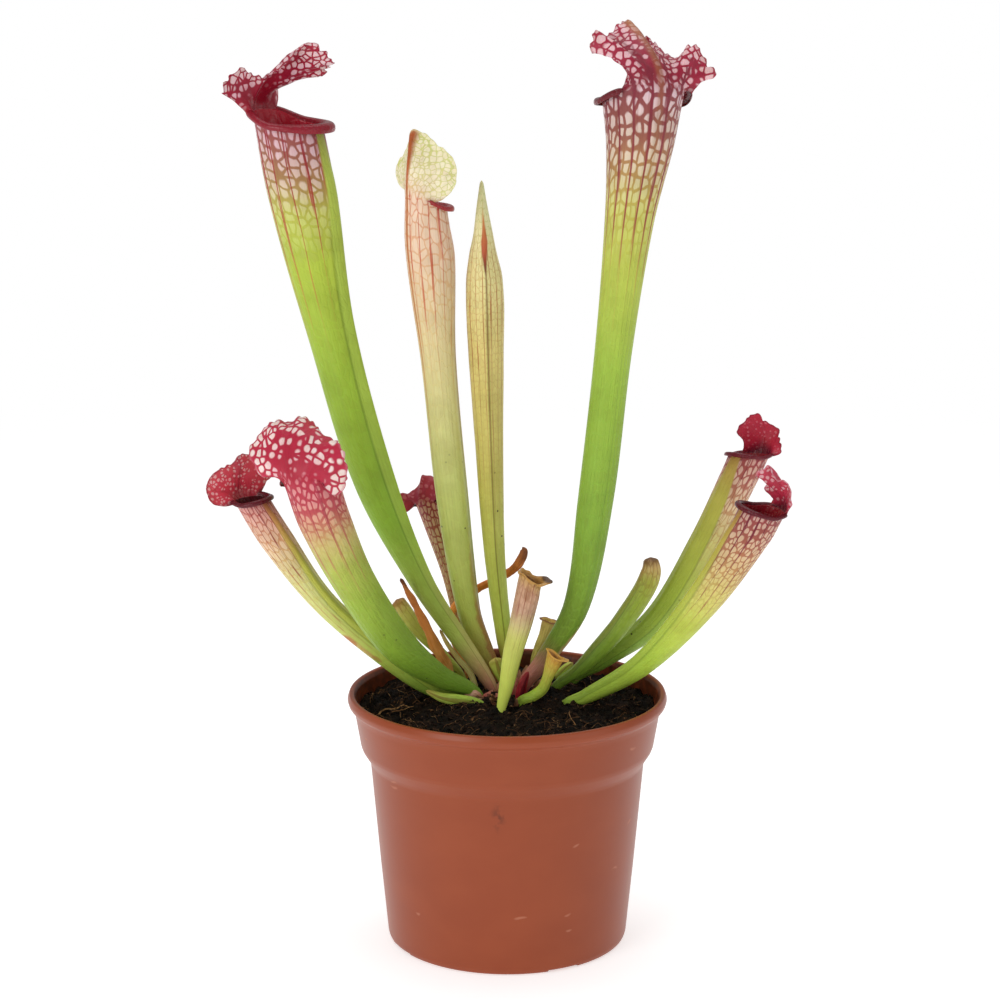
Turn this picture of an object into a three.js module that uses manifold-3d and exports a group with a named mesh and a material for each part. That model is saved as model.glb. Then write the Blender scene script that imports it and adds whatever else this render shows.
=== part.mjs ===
// Potted pitcher plant: a trumpet pitcher in a round plastic nursery pot.
// Units are millimetres, +Z is up, and the origin is the middle of the pot's foot.
// Seen from the front the eye looks along +Y, with +X to the right.
import * as THREE from 'three';
import { mergeVertices } from 'three/addons/utils/BufferGeometryUtils.js';
import Module from 'manifold-3d';

const wasm = await Module();
wasm.setup();

// ---------------------------------------------------------------- driving dimensions
const POT_HEIGHT = 96.5;
const POT_FLOOR = 4.6;            // height of the floor's upper face
const POT_SEGMENTS = 36;
const FOOT_LIFT = 2.4;            // the pot's floor stands this high inside its foot ring
const FOOT_PAD = { radius: 5, sides: 9, height: 3.5 }; // from the ring's plane up into the floor
const DRAIN_HOLES = 6;
const DRAIN_RADIUS = 3.5;
const DRAIN_CIRCLE = 30;
const DRAIN_SIDES = 12;
const FOOT_NOTCHES = 4;
const FOOT_NOTCH_WIDTH = 13;
const FOOT_NOTCH_HEIGHT = 1.2;
const FOOT_NOTCH_RADIUS = 43;     // of the foot ring that the slots cross
const FOOT_NOTCH_REACH = 14;
const FOOT_NOTCH_TURN = 0.31;     // the slots start this share of a step round from +X

const SOIL_LEVEL = 89.5;          // mean height of the peat
const SOIL_MOUND = 1.6;           // it is heaped this much higher round the plant
const SOIL_MOUND_AT = [2, 12];
const SOIL_MOUND_SPREAD = 30;
const SOIL_LUMP = 0.75;
const SOIL_WAVES = { wide: [0.41, 0.37], shift: [1.3, -0.6], fine: [0.83, -0.71], share: 0.6 };
const SOIL_RINGS = 6;
const SOIL_SEGMENTS = POT_SEGMENTS;
const PEAT_GAP = 0.45;            // between the peat and the pot's wall

const SEAT_GAP = 0.35;            // left between touching pieces
const LEAF_WALL = 0.8;
const KEEL_WIDTH = 0.3;           // of the keel down a leaf's front, as an angle round the leaf
const RIM_FROM = 0.75;            // the tube turns towards its rim from this share of its length
const SHOULDER = 0.24;            // how far a rim sweeps up beside its lid, as a share of its half width
const SHOULDER_TURN = [-0.75, 0.15]; // the angles round the rim, from the lid's edge, of that sweep
const TAU = Math.PI * 2;

// Outside of the pot from its foot up to its rim: [radius, height].
const POT_OUTSIDE = [
  [43.6, 0], [45.1, 0.6], [45.7, 2.2], [48.4, 30], [51.9, 69.8], [52.5, 71.2], [54.9, 75],
  [55.5, 76.6], [57.6, 89], [58.2, 91], [59.9, 92.4], [60.4, 94.2], [59.6, POT_HEIGHT],
];
// Inside of the pot from its rim down to its floor.
const POT_INSIDE = [[58.2, POT_HEIGHT], [57.1, 94.8], [56.2, 88], [53.8, 75.6], [50.6, 69.8], [44.4, 4.6]];

// How finely a pitcher is faceted: columns round its front and under its lid, rows beyond its rim.
// turn is how far its lip rolls over, in degrees: a fresh lip rolls right down, a dried one flares.
const LARGE = { front: 8, lid: 13, beyond: 5, turn: 215 };
const SMALL = { front: 6, lid: 10, beyond: 4, turn: 215 };
const DRIED = { front: 12, lid: 0, beyond: 3, turn: 105 };

// ---------------------------------------------------------------- the open pitchers
// front     the way the mouth faces, as [x, y]
// stations  along the tube: [x, y, z, half width across, half depth front to back]
// wing      height of the keel down the front of the tube
// dip       how far the rim drops at its [front, across side]; a negative number lifts it
// lip       radius of the rolled lip at the [sides, front]
// hood      the lid's edge, as offsets [x, y, z] from the middle of the mouth, in order round it
// apex      place in that list of the lid's tip
// column    half angle of the rim that the lid grows from, in degrees
// bend      how far the lid rises before it bends, and the way it runs out: [rise, outwards, upwards]
// ruffle    [number of waves, height] of the lid's edge
// hollow    share of the tube, from the mouth down, that is hollow
const PITCHERS = {
  pitcher_tall_left: {
    detail: LARGE, colour: 0x8fb23c, front: [0.91, -0.42], wing: 1.6, dip: [4, -0.6], lip: [1.3, 2.2],
    stations: [
      [-3, 19, 83, 1.6, 1.9], [-7, 19, 94, 2.2, 2.7], [-16, 20, 107.5, 2.8, 3.6], [-33.9, 25, 133.3, 3.5, 4.5],
      [-51.4, 32, 170.8, 6.77, 7.82], [-67.3, 37, 227.3, 8.16, 9.06], [-77.4, 40, 277.8, 12.14, 12.89],
      [-82.2, 40, 306.2, 12.56, 12.73],
    ],
    hood: [
      [-17.4, -5, 7], [-20.7, -9, 10], [-22.9, -11, 12.5], [-22.7, -11.5, 15.1], [-20.8, -10, 18.3],
      [-17, -8, 20.5], [-14, -5, 18.5], [-9.9, -3, 17.8], [-6.4, -4, 19.9], [-1.8, -5, 22.9], [2.8, -6, 24.8],
      [6.1, -5, 27.5], [9.2, -4, 29.7], [12.2, -2, 28.5], [14.7, 0, 25.7], [16.3, 3, 22.6], [14.6, 6, 20],
      [10.6, 9, 19], [6.5, 12, 18.5], [2.2, 14, 18.4], [-2.2, 16, 16],
    ],
    apex: 16, column: 48, bend: [0.85, 0.75, 0.1], ruffle: [6, 1.5], hollow: 0.42,
  },
  pitcher_tall_right: {
    detail: LARGE, colour: 0x86ad38, front: [-0.42, 0.91], wing: 1.6, dip: [1, 0], lip: [1.3, 1.9],
    stations: [
      [2.6, 12, 84, 1.7, 2], [6, 12, 94.5, 2.6, 3], [13.6, 11, 104.6, 3.2, 3.7], [26.2, 6, 128, 4.8, 5.3],
      [32.7, -3, 170.4, 6.59, 6.35], [38.4, -12, 227.9, 6.71, 6.66], [43.5, -17, 276.1, 8.86, 8.5],
      [47, -18, 303, 12.33, 11.16], [47.8, -18, 317.1, 14.67, 13.03],
    ],
    hood: [
      [18, 1, 3.7], [19, 0, 6.1], [21, -1, 8.1], [23.4, -1, 9.2], [24.8, -1, 11.9], [22, 0, 14.2],
      [21.2, 1, 16.5], [19.9, 1, 19], [17.1, 1.5, 19.7], [14.3, 2, 18.2], [10.9, 3, 16.8], [7.5, 5, 18],
      [3.9, 8, 20.1], [1.1, 12, 23.1], [-2, 15, 25.9], [-4.1, 16, 28], [-7.1, 13, 27], [-11.2, 9, 24.8],
      [-13.9, 6, 22.1], [-16, 4, 23.4], [-17.6, 2, 24.5], [-18.7, 0.5, 21.8], [-18.2, -1, 18.7],
      [-15.4, -2, 17.9], [-12.7, -3, 17.7], [-11.3, -4, 14.7], [-8.9, -5, 12.5], [-6.4, -6, 10.4],
    ],
    apex: 16, column: 60, bend: [1.1, 0.7, 0.2], ruffle: [6, 1.4], hollow: 0.4,
  },
  pitcher_pale: {
    detail: LARGE, colour: 0xb9b968, front: [0.86, 0.5], wing: 1.4, dip: [2.5, 0], lip: [0.7, 1.3],
    stations: [
      [-1, 30, 83, 1.6, 1.9], [-4, 31, 92.5, 2.3, 2.8], [-9, 31, 103, 3.2, 3.9], [-15.2, 30.5, 120, 3.8, 4.4],
      [-21.3, 28.5, 164, 5.1, 5.9], [-26.2, 22, 219, 5.75, 6.38], [-28.9, 18, 259, 7.97, 9.04],
      [-30, 16, 278, 7.17, 7.77],
    ],
    hood: [
      [7.6, -7, 2.6], [10, -8, 7], [10.8, -7, 12.5], [10.2, -5, 17], [7.5, -3, 20], [3.5, -1, 22.8],
      [0.5, 0, 25.6], [-2, 1, 27], [-5.4, 1, 27.4], [-6.5, 4, 23], [-8.2, 7, 19], [-10.6, 9, 15.5],
      [-11.6, 10, 11], [-10.2, 10, 6.6], [-6, 10, 4],
    ],
    apex: 9, column: 76, bend: [1.1, 0.35, 0.6], ruffle: [4, 0.5], hollow: 0.4,
  },
  pitcher_front_left: {
    detail: LARGE, colour: 0xb03a52, front: [0.55, 0.83], wing: 1.4, dip: [2, 0], lip: [0.8, 1.3],
    stations: [
      [-7, 12, 84, 1.5, 1.6], [-13, 11, 92.8, 2.4, 2.6], [-25.6, 5, 100.3, 4.2, 4.5], [-41, -4, 115.4, 6.5, 7],
      [-56.2, -13, 141.3, 7.53, 7.9], [-66.7, -18, 165.7, 9.37, 9.43], [-70.9, -20, 179.6, 9.92, 9.57],
    ],
    hood: [
      [8.3, -12, -2.4], [11.3, -13, -0.4], [12.7, -12.6, 3.6], [12.9, -11, 8.6], [12.1, -8, 14.2],
      [8.9, -5, 17.7], [4.5, 0, 18.7], [0.3, 6, 22.1], [-3.7, 10, 23.7], [-8.6, 11, 21.5], [-14.1, 11, 22.5],
      [-19.6, 9, 17.5], [-23.1, 6, 12.6], [-22.1, 3, 7.2], [-17.7, 1, 3.8], [-12.1, 0, 4.2],
    ],
    apex: 9, column: 66, bend: [1.1, 0.9, -0.25], ruffle: [7, 0.9], hollow: 0.45,
  },
  pitcher_low_left: {
    detail: SMALL, colour: 0x9b3b3d, front: [0.75, -0.66], wing: 1, dip: [0.5, -2.4], lip: [0.6, 0.9],
    stations: [
      [-12, 17, 84, 1.3, 1.4], [-16, 15.4, 89.5, 2, 2.2], [-29, 12.4, 93.6, 3.2, 3.4],
      [-46.8, 13, 106.8, 4.3, 4.5], [-69.5, 9, 128.5, 4.55, 4.66], [-86.2, 1, 154.6, 6.03, 6.07],
      [-94.6, -2, 169.9, 5.91, 6.08],
    ],
    hood: [
      [-10, -4, -1.7], [-15.6, -4, 0.3], [-17, -2, 4.7], [-15.1, 0, 9.7], [-10.2, 2, 12.9], [-7.4, 3, 13.7],
      [-4.6, 4, 16.7], [-0.6, 6, 16.3], [3, 7, 13.3], [5.8, 8, 9.3], [5, 8, 5.9],
    ],
    apex: 7, column: 70, bend: [1.1, 0.7, 0.3], ruffle: [5, 0.7], hollow: 0.4,
  },
  pitcher_small_back: {
    detail: SMALL, colour: 0xa8604a, front: [0.55, 0.83], wing: 0.6, dip: [0.5, 0], lip: [0.6, 0.9],
    stations: [
      [-11, 39.5, 84, 1.2, 1.3], [-13.8, 43, 93, 1.6, 1.8], [-17, 47, 103.4, 2.1, 2.3], [-22.4, 53, 128.4, 3.1, 3.3],
      [-28.6, 56, 149.2, 4.5, 4.5], [-30.6, 56, 156, 5.1, 5.1],
    ],
    hood: [
      [3.6, -1, 2.5], [4.4, 0, 6], [3.2, 1, 10.4], [-0.2, 2, 11.5], [-3, 2, 11.2], [-4.4, 2, 7.6], [-7.8, 2, 5],
      [-11.6, 0, 4.4], [-12.2, 0, 0.5], [-9.8, -1, -3],
    ],
    apex: 4, column: 70, bend: [1.1, 0.8, 0], ruffle: [4, 0.6], hollow: 0.35,
  },
  pitcher_upper_right: {
    detail: SMALL, colour: 0xb8455a, front: [-0.75, -0.66], wing: 1.1, dip: [1.4, 2.2], lip: [0.5, 0.9],
    stations: [
      [20, 30, 84, 1.4, 1.5], [27, 30, 93.2, 2.2, 2.4], [36.5, 31, 99, 3.3, 3.6], [59.4, 35, 116, 5.3, 5.6],
      [78, 41, 144.4, 6.6, 6.8], [90.4, 46, 169, 7.1, 7.2], [94, 47, 177, 7.4, 7.4],
    ],
    hood: [
      [-1.2, 6, 6], [-3.6, 6, 8.6], [-3.4, 6, 11], [-1, 6, 13.2], [2, 7, 15.2], [4.6, 8, 15.6], [6, 8, 13],
      [8.6, 7, 12.2], [12, 4, 9.4], [13, 0, 4.4], [11.6, -3, 1.6],
    ],
    apex: 6, column: 64, bend: [1.1, 0.45, 0.5], ruffle: [4, 0.8], hollow: 0.4,
  },
  pitcher_lower_right: {
    detail: SMALL, colour: 0xb35563, front: [-0.95, -0.31], wing: 1.2, dip: [0.9, 1.2], lip: [0.5, 0.9],
    stations: [
      [17.5, 7.5, 84, 1.2, 1.4], [23, 5, 90, 1.8, 2], [30, 3, 93, 2.8, 3.2], [51, -4, 108, 4.3, 4.6],
      [72.5, -12, 134.7, 6.3, 6.7], [89, -17, 161.5, 7.6, 8], [92.8, -18, 169.5, 8, 8.3],
    ],
    hood: [
      [5.6, 6, 5], [2.8, 6, 6], [2.4, 5, 8], [3.2, 4, 10.2], [0.4, 2, 12], [-1.8, 1, 13.6], [-0.6, 0, 15.4],
      [2, -1, 17], [3.4, -2, 15], [5.2, -3, 13], [8.2, -4, 12], [10, -5, 9.4], [10, -6, 5.8], [10.6, -6, 3.6],
      [9.4, -5, 1.8],
    ],
    apex: 7, column: 50, bend: [1.1, 0.7, 0.3], ruffle: [5, 0.7], hollow: 0.4,
  },
  pitcher_dried_front: {
    detail: DRIED, colour: 0xa9a25c, front: [0.95, 0.25], wing: 0.5, dip: [2.2, 0], lip: [0.5, 3.1],
    stations: [
      [-2.6, -8, 84, 1.1, 1.2], [-2.4, -7, 90.5, 1.6, 1.7], [-0.5, -7, 100, 2.4, 2.6], [2, -8, 113.6, 3.2, 3.5],
      [5.2, -9, 126.2, 3.8, 4.1], [8.5, -11, 142.2, 4.2, 4.5],
    ],
    hood: null, hollow: 0.16,
  },
  trumpet_dried_back: {
    detail: DRIED, colour: 0xb98d52, front: [-0.2, -0.98], wing: 0.3, dip: [0, 0], lip: [0.9, 1],
    stations: [
      [10, 43, 84, 1.2, 1.2], [11, 46, 95, 1.6, 1.6], [13, 48, 100.4, 2, 2], [15, 48, 105, 2.3, 2.3],
      [16.4, 48, 110, 2.7, 2.7],
    ],
    hood: null, hollow: 0.25,
  },
  leaf_bent_front: {
    detail: DRIED, colour: 0xa6b345, front: [0.9, -0.44], wing: 0.3, dip: [1.2, 0], lip: [0.5, 1.7],
    stations: [
      [1.5, 1, 84.5, 0.9, 1], [5, 0, 92, 1.4, 1.6], [9.7, -1, 94.5, 1.8, 1.9], [13.2, -2, 97.6, 1.8, 1.9],
      [15, -3, 102, 1.8, 1.9], [16.9, -3, 107.6, 2.4, 2.8], [17.8, -3, 110.2, 2.6, 3.5],
    ],
    hood: null, hollow: 0.22,
  },
};

// ---------------------------------------------------------------- the solid leaves
// front and stations as above; wing is the height of the keel, waves is [count, share of the width].
const BLADES = {
  pitcher_unopened: {
    colour: 0xa4ac5a, front: [0.12, -0.99], wing: 0.9, waves: [0, 0], sides: 10,
    stations: [
      [2.5, 36.5, 83, 1.4, 1.5], [1, 36, 95, 2.2, 2.4], [-1, 36, 106, 3, 3.2], [-4.9, 32, 143, 4.1, 4.28],
      [-7.1, 28, 191, 5.53, 5.42], [-8.2, 25, 230, 6.99, 5.79], [-8.6, 24, 249, 6.95, 5.48],
      [-9.1, 24, 259, 5.22, 4.35], [-9.1, 24, 266, 3.76, 3.37], [-9.5, 24, 276, 2.16, 1.95],
      [-9.6, 24, 286.5, 0.55, 0.54],
    ],
  },
  leaf_cut_right: {
    colour: 0x8db23e, front: [-0.85, -0.5], wing: 0.5, waves: [0, 0], sides: 10,
    stations: [
      [14.5, 20, 84.5, 1, 1.2], [19.5, 20, 92.6, 1.8, 2.1], [28, 20, 99, 2.6, 3], [35.8, 21, 107, 3.4, 3.7],
      [42.5, 21, 115, 3.8, 4], [52, 22, 129, 4.1, 4.2], [55.2, 22, 137, 3.8, 3.9], [55, 22, 142.8, 2.6, 2.6],
    ],
  },
  leaf_small_left: {
    colour: 0xa3a64a, front: [0.85, 0.5], wing: 0.4, waves: [0, 0], sides: 10,
    stations: [
      [-14.5, 31, 85, 0.9, 1], [-18.2, 31, 94, 1.1, 1.3], [-23.8, 31, 100.3, 1.5, 1.8], [-34.7, 31, 111.6, 2.3, 2.8],
      [-39, 31, 117.3, 2.6, 3.3], [-43, 31, 123.8, 2.3, 3],
    ],
  },
  leaf_dead_left: {
    colour: 0xc2702f, front: [0.5, -0.86], wing: 0.3, waves: [5, 0.16], sides: 6,
    stations: [
      [-18, 26.6, 85, 0.9, 0.9], [-22.2, 25.4, 96.4, 1.6, 0.9], [-25.6, 23.4, 103.4, 2.5, 1], [-28.6, 22, 110, 2, 1],
      [-35, 20, 124, 1.5, 0.9], [-38.6, 18.6, 131, 0.9, 0.8], [-40.3, 18, 134.6, 1, 0.9],
      [-40.9, 18, 135.8, 0.7, 0.7],
    ],
  },
  stalk_dead_back: {
    colour: 0xb5622f, front: [0, -1], wing: 0, waves: [4, 0.1], sides: 6,
    stations: [
      [-13.5, 35, 84, 1, 1], [-16.4, 37, 95.4, 1.2, 1.2], [-21, 40, 105, 1.3, 1.3], [-22.6, 41, 113, 1.5, 1.5],
      [-20, 41.5, 118.5, 1.7, 1.5], [-12.2, 41.4, 125, 1.6, 1.4], [1.6, 40, 133, 1.6, 1.4], [4.6, 39, 136.4, 1.9, 1.5],
      [6, 38, 139.6, 2, 1.6], [6.6, 38, 142, 1.5, 1.3], [6, 38, 143.2, 0.8, 0.8],
    ],
  },
  sheath_dried_left: {
    colour: 0xc9b25a, front: [0.8, -0.6], wing: 0, waves: [3, 0.12], sides: 6,
    stations: [
      [-9.5, 22.5, 85, 0.7, 1], [-12.6, 23.4, 96.4, 0.6, 1.6], [-17.6, 24.4, 102.4, 0.6, 1.5],
      [-22, 25.4, 108.6, 0.6, 1.1], [-25, 26.4, 113.4, 0.5, 0.6],
    ],
  },
  leaf_folded_light: {
    colour: 0xa9cc62, front: [0.4, -0.92], wing: 0.3, waves: [0, 0], sides: 8,
    stations: [
      [-1, 21.5, 86, 0.9, 0.9], [-2, 21.6, 93.4, 1.4, 1.1], [-3.4, 21, 98, 2.2, 0.9], [-4.4, 20.6, 101.6, 2.8, 0.8],
      [-4.7, 20.4, 103.4, 2.4, 0.7],
    ],
  },
  leaf_stub_left: {
    colour: 0x7fa53a, front: [0.2, -0.98], wing: 0, waves: [0, 0], sides: 8,
    stations: [
      [-6, 4.5, 85.5, 1.1, 1.1], [-11, 3.8, 89.9, 1.8, 1.3], [-18, 3, 91.4, 2.3, 1.4], [-25, 3.4, 92.6, 1.9, 1.2],
      [-31, 4.4, 95, 0.7, 0.6],
    ],
  },
  leaf_stub_right: {
    colour: 0x9db98a, front: [-0.6, -0.8], wing: 0.3, waves: [0, 0], sides: 6,
    stations: [
      [17.5, 37, 85, 1, 1], [20, 37.4, 91, 1.6, 1.4], [23, 38.2, 94, 1.8, 1.5], [26, 39.4, 96, 1.1, 1],
    ],
  },
  bud_red: {
    colour: 0x8e2433, front: [0.3, -0.95], wing: 0.2, waves: [0, 0], sides: 6,
    stations: [
      [4.4, 6.5, 85.5, 1.1, 1.1], [5, 5.8, 93, 1.9, 1.7], [6.2, 5, 98, 1.7, 1.6], [8, 4.2, 102.6, 0.7, 0.7],
    ],
  },
};

const HOLE_SIDES = 7;
const HOLE_ABOVE = 3;             // a hole ends this far above the peat's mean height
const HOLE_SHARE = 0.12;          // it is wider than the leaf by this share, beside the gap
const HOLE_KEEL = 1.6;            // its keel is this many times as high as the leaf's

// The rootstock lies in the peat, with the dead scales of old leaf bases round its crown.
const ROOTSTOCK = { middle: [1, 19, 83], half: [15.5, 25.5, 8.6], sides: 12, rings: 6, lumps: [0.07, 0.05] };
const ROOTSTOCK_GROW = 1.3;       // an offset of the coarse body needs this share more at its corners
const SCALES = 6;
const SCALE_FOOT = 86;
const SCALE_LENGTH = 8;
const SCALE_HALF_WIDTH = 2.1;
const SCALE_HALF_DEPTH = 0.9;
const SCALE_SEED = 7;

// ---------------------------------------------------------------- small helpers
const smooth = (low, high, x) => {
  const t = Math.min(1, Math.max(0, (x - low) / (high - low)));
  return t * t * (3 - 2 * t);
};
const mix = (a, b, t) => a + (b - a) * t;
const hermite = (a, slopeA, b, slopeB, t) =>
  a * (2 * t ** 3 - 3 * t ** 2 + 1) + slopeA * (t ** 3 - 2 * t ** 2 + t)
  + b * (3 * t ** 2 - 2 * t ** 3) + slopeB * (t ** 3 - t ** 2);

// A repeatable stream of numbers from 0 to 1.
function randomStream(seed) {
  let state = seed;
  return () => {
    state = (state * 16807) % 2147483647;
    return state / 2147483647;
  };
}

// How far along a line of points each one lies.
function lengthsAlong(rows) {
  const at = [0];
  for (let i = 1; i < rows.length; i += 1) {
    at.push(at[i - 1] + Math.hypot(...[0, 1, 2].map((k) => rows[i][k] - rows[i - 1][k])));
  }
  return at;
}

// A smooth curve through rows of numbers, spaced by the distance between their first three.
// Gives a function of 0 to 1 that returns a row.
function smoothRows(rows) {
  const at = lengthsAlong(rows);
  const length = at[at.length - 1];
  const slope = rows.map((row, i) => {
    const before = Math.max(0, i - 1);
    const after = Math.min(rows.length - 1, i + 1);
    return row.map((_, k) => (rows[after][k] - rows[before][k]) / (at[after] - at[before]));
  });
  return (t) => {
    const where = t * length;
    let i = 0;
    while (i < rows.length - 2 && at[i + 1] < where) i += 1;
    const span = at[i + 1] - at[i];
    const u = (where - at[i]) / span;
    return rows[i].map((value, k) =>
      hermite(value, slope[i][k] * span, rows[i + 1][k], slope[i + 1][k] * span, u));
  };
}

// Where a leaf's middle line is at t, and its own along, front and across directions there.
function leafFrame(line, front, t) {
  const step = 0.004;
  const here = line(t);
  const before = line(Math.max(0, t - step));
  const after = line(Math.min(1, t + step));
  const along = new THREE.Vector3(after[0] - before[0], after[1] - before[1], after[2] - before[2]).normalize();
  const facing = new THREE.Vector3(front[0], front[1], 0);
  facing.addScaledVector(along, -facing.dot(along)).normalize();
  const across = new THREE.Vector3().crossVectors(facing, along);
  return { middle: new THREE.Vector3(here[0], here[1], here[2]), along, facing, across, wide: here[3], deep: here[4] };
}

// A point of the leaf's skin: an oval with a keel standing out of its front.
function skinPoint(frame, angle, wing, grow) {
  const keel = wing * Math.exp(-((Math.atan2(Math.sin(angle), Math.cos(angle)) / KEEL_WIDTH) ** 2));
  return frame.middle.clone()
    .addScaledVector(frame.across, Math.sin(angle) * (frame.wide + grow))
    .addScaledVector(frame.facing, Math.cos(angle) * (frame.deep + grow + keel));
}

// The places along a leaf, from 0 to 1, of its stations and of the points halfway between them.
function placesAlong(stations) {
  const at = lengthsAlong(stations);
  const share = at.map((value) => value / at[at.length - 1]);
  return share.flatMap((value, i) => (i === 0 ? [value] : [(share[i - 1] + value) / 2, value]));
}

// The keel grows from the leaf's foot and fades out under the lip.
const keelHeight = (wing, t) => wing * smooth(0.05, 0.3, t) * (1 - smooth(0.9, 1, t));

// Turns rows of a tube's points into one closed mesh: the rows are joined round and along,
// and both ends are closed by a fan.
function closedRows(rows) {
  const count = rows[0].length;
  const points = rows.flat();
  const faces = [];
  for (let i = 0; i + 1 < rows.length; i += 1) {
    for (let j = 0; j < count; j += 1) {
      const next = (j + 1) % count;
      const a = i * count + j;
      const b = i * count + next;
      const c = (i + 1) * count + next;
      const d = (i + 1) * count + j;
      faces.push([a, b, c], [a, c, d]);
    }
  }
  [0, rows.length - 1].forEach((end) => {
    const centre = points.length;
    const middle = rows[end].reduce((sum, p) => sum.add(p), new THREE.Vector3()).divideScalar(count);
    points.push(middle);
    for (let j = 0; j < count; j += 1) {
      const a = end * count + j;
      const b = end * count + ((j + 1) % count);
      faces.push(end === 0 ? [centre, b, a] : [centre, a, b]);
    }
  });
  return meshOf(points, faces);
}

// An indexed geometry from points and faces, turned so that its faces point outwards.
function meshOf(points, faces) {
  const volume = faces.reduce((sum, [a, b, c]) =>
    sum + points[a].dot(new THREE.Vector3().crossVectors(points[b], points[c])), 0);
  const geometry = new THREE.BufferGeometry();
  geometry.setAttribute('position', new THREE.Float32BufferAttribute(points.flatMap((p) => [p.x, p.y, p.z]), 3));
  geometry.setIndex(faces.flatMap(([a, b, c]) => (volume > 0 ? [a, b, c] : [a, c, b])));
  return geometry;
}

// ---------------------------------------------------------------- an open pitcher
// The angles of a pitcher's columns of points, closer together under the lid.
function columnAngles(spec, detail) {
  const edge = freeAngle(spec);
  const round = Array.from({ length: detail.front }, (_, j) => -edge + (2 * edge * j) / detail.front);
  const under = Array.from({ length: detail.lid }, (_, j) => edge + (2 * (Math.PI - edge) * j) / detail.lid);
  return [...round, ...under];
}

// Half of the angle round the rim that is free of the lid.
const freeAngle = (spec) => (spec.hood ? Math.PI - THREE.MathUtils.degToRad(spec.column) : Math.PI);

// A point of the tube. Towards the rim its front drops by the pitcher's dip, and it sweeps up
// where the lid begins.
function tubePoint(spec, line, t, angle) {
  const frame = leafFrame(line, spec.front, t);
  const point = skinPoint(frame, angle, keelHeight(spec.wing, t), 0);
  const round = Math.abs(Math.atan2(Math.sin(angle), Math.cos(angle)));
  const sweep = spec.hood ? SHOULDER * frame.wide * smooth(...SHOULDER_TURN, round - freeAngle(spec)) : 0;
  const drop = spec.dip[0] * Math.cos(angle) + spec.dip[1] * Math.sin(angle);
  return point.addScaledVector(frame.along, (sweep - drop) * smooth(RIM_FROM, 1, t));
}

const LID_BLEND = 0.22;           // share of the lid, at either side, that turns into the lip

// The rolled lip: a curl that leaves the rim upwards and turns outwards and down.
function lipPoint(spec, frame, rim, angle, s) {
  const radius = mix(spec.lip[0], spec.lip[1], Math.max(0, Math.cos(angle)) ** 2);
  const turned = s * THREE.MathUtils.degToRad(spec.detail.turn);
  const out = new THREE.Vector3()
    .addScaledVector(frame.across, Math.sin(angle))
    .addScaledVector(frame.facing, Math.cos(angle));
  return rim.clone()
    .addScaledVector(out, radius * (1 - Math.cos(turned)))
    .addScaledVector(frame.along, radius * Math.sin(turned));
}

// The sheet beyond the rim: rolled lip round the front, lid at the back.
function beyondRim(spec, line, angles, rowsBeyond) {
  const frame = leafFrame(line, spec.front, 1);
  const rim = angles.map((angle) => tubePoint(spec, line, 1, angle));
  const roll = (j, s) => lipPoint(spec, frame, rim[j], angles[j], s);
  if (!spec.hood) {
    return rowsBeyond.map((s) => angles.map((_, j) => roll(j, s)));
  }
  const column = THREE.MathUtils.degToRad(spec.column);
  const edgePoint = (angle) => lipPoint(spec, frame, tubePoint(spec, line, 1, angle), angle, 1);
  const row = (v) => [v.x, v.y, v.z];
  const start = edgePoint(Math.PI - column);
  const end = edgePoint(Math.PI + column);
  const edge = [row(start), ...spec.hood.map((p) => row(frame.middle.clone().add(new THREE.Vector3(...p)))), row(end)];
  const lidEdge = smoothRows(edge);
  const lengths = lengthsAlong(edge);
  const apexShare = lengths[spec.apex] / lengths[lengths.length - 1];
  const back = tubePoint(spec, line, 1, Math.PI);
  return rowsBeyond.map((s) => angles.map((angle, j) => {
    const turn = angle < 0 ? angle + TAU : angle;
    const q = (Math.PI - turn) / column;
    if (Math.abs(q) > 1.0001) return roll(j, s);
    const share = q > 0 ? apexShare * (1 - q) : mix(apexShare, 1, -q);
    const target = new THREE.Vector3(...lidEdge(Math.min(1, Math.max(0, share))).slice(0, 3));
    const reach = rim[j].distanceTo(target);
    const out = target.clone().sub(back).setZ(0).normalize();
    const place = (axis) => hermite(
      rim[j][axis], frame.along[axis] * reach * spec.bend[0],
      target[axis], (out[axis] * spec.bend[1] + (axis === 'z' ? spec.bend[2] : 0)) * reach, s);
    const point = new THREE.Vector3(place('x'), place('y'), place('z'));
    const calm = smooth(0, 0.25, 1 - Math.abs(q));
    const wave = spec.ruffle[1] * s ** 2.5 * calm * Math.sin(q * Math.PI * spec.ruffle[0]);
    const aside = new THREE.Vector3().crossVectors(out, new THREE.Vector3(0, 0, 1));
    const lift = new THREE.Vector3().crossVectors(target.clone().sub(rim[j]).normalize(), aside).normalize();
    return roll(j, s).lerp(point.addScaledVector(lift, wave), smooth(0, LID_BLEND, 1 - Math.abs(q)));
  }));
}

// The outward direction of the sheet at each of its points, from its neighbours round and along.
function sheetNormals(sheet) {
  const last = sheet.length - 1;
  const count = sheet[0].length;
  return sheet.map((row, i) => row.map((_, j) => {
    const round = sheet[i][(j + 1) % count].clone().sub(sheet[i][(j + count - 1) % count]);
    const along = sheet[Math.min(last, i + 1)][j].clone().sub(sheet[Math.max(0, i - 1)][j]);
    return round.cross(along).normalize();
  }));
}

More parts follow.
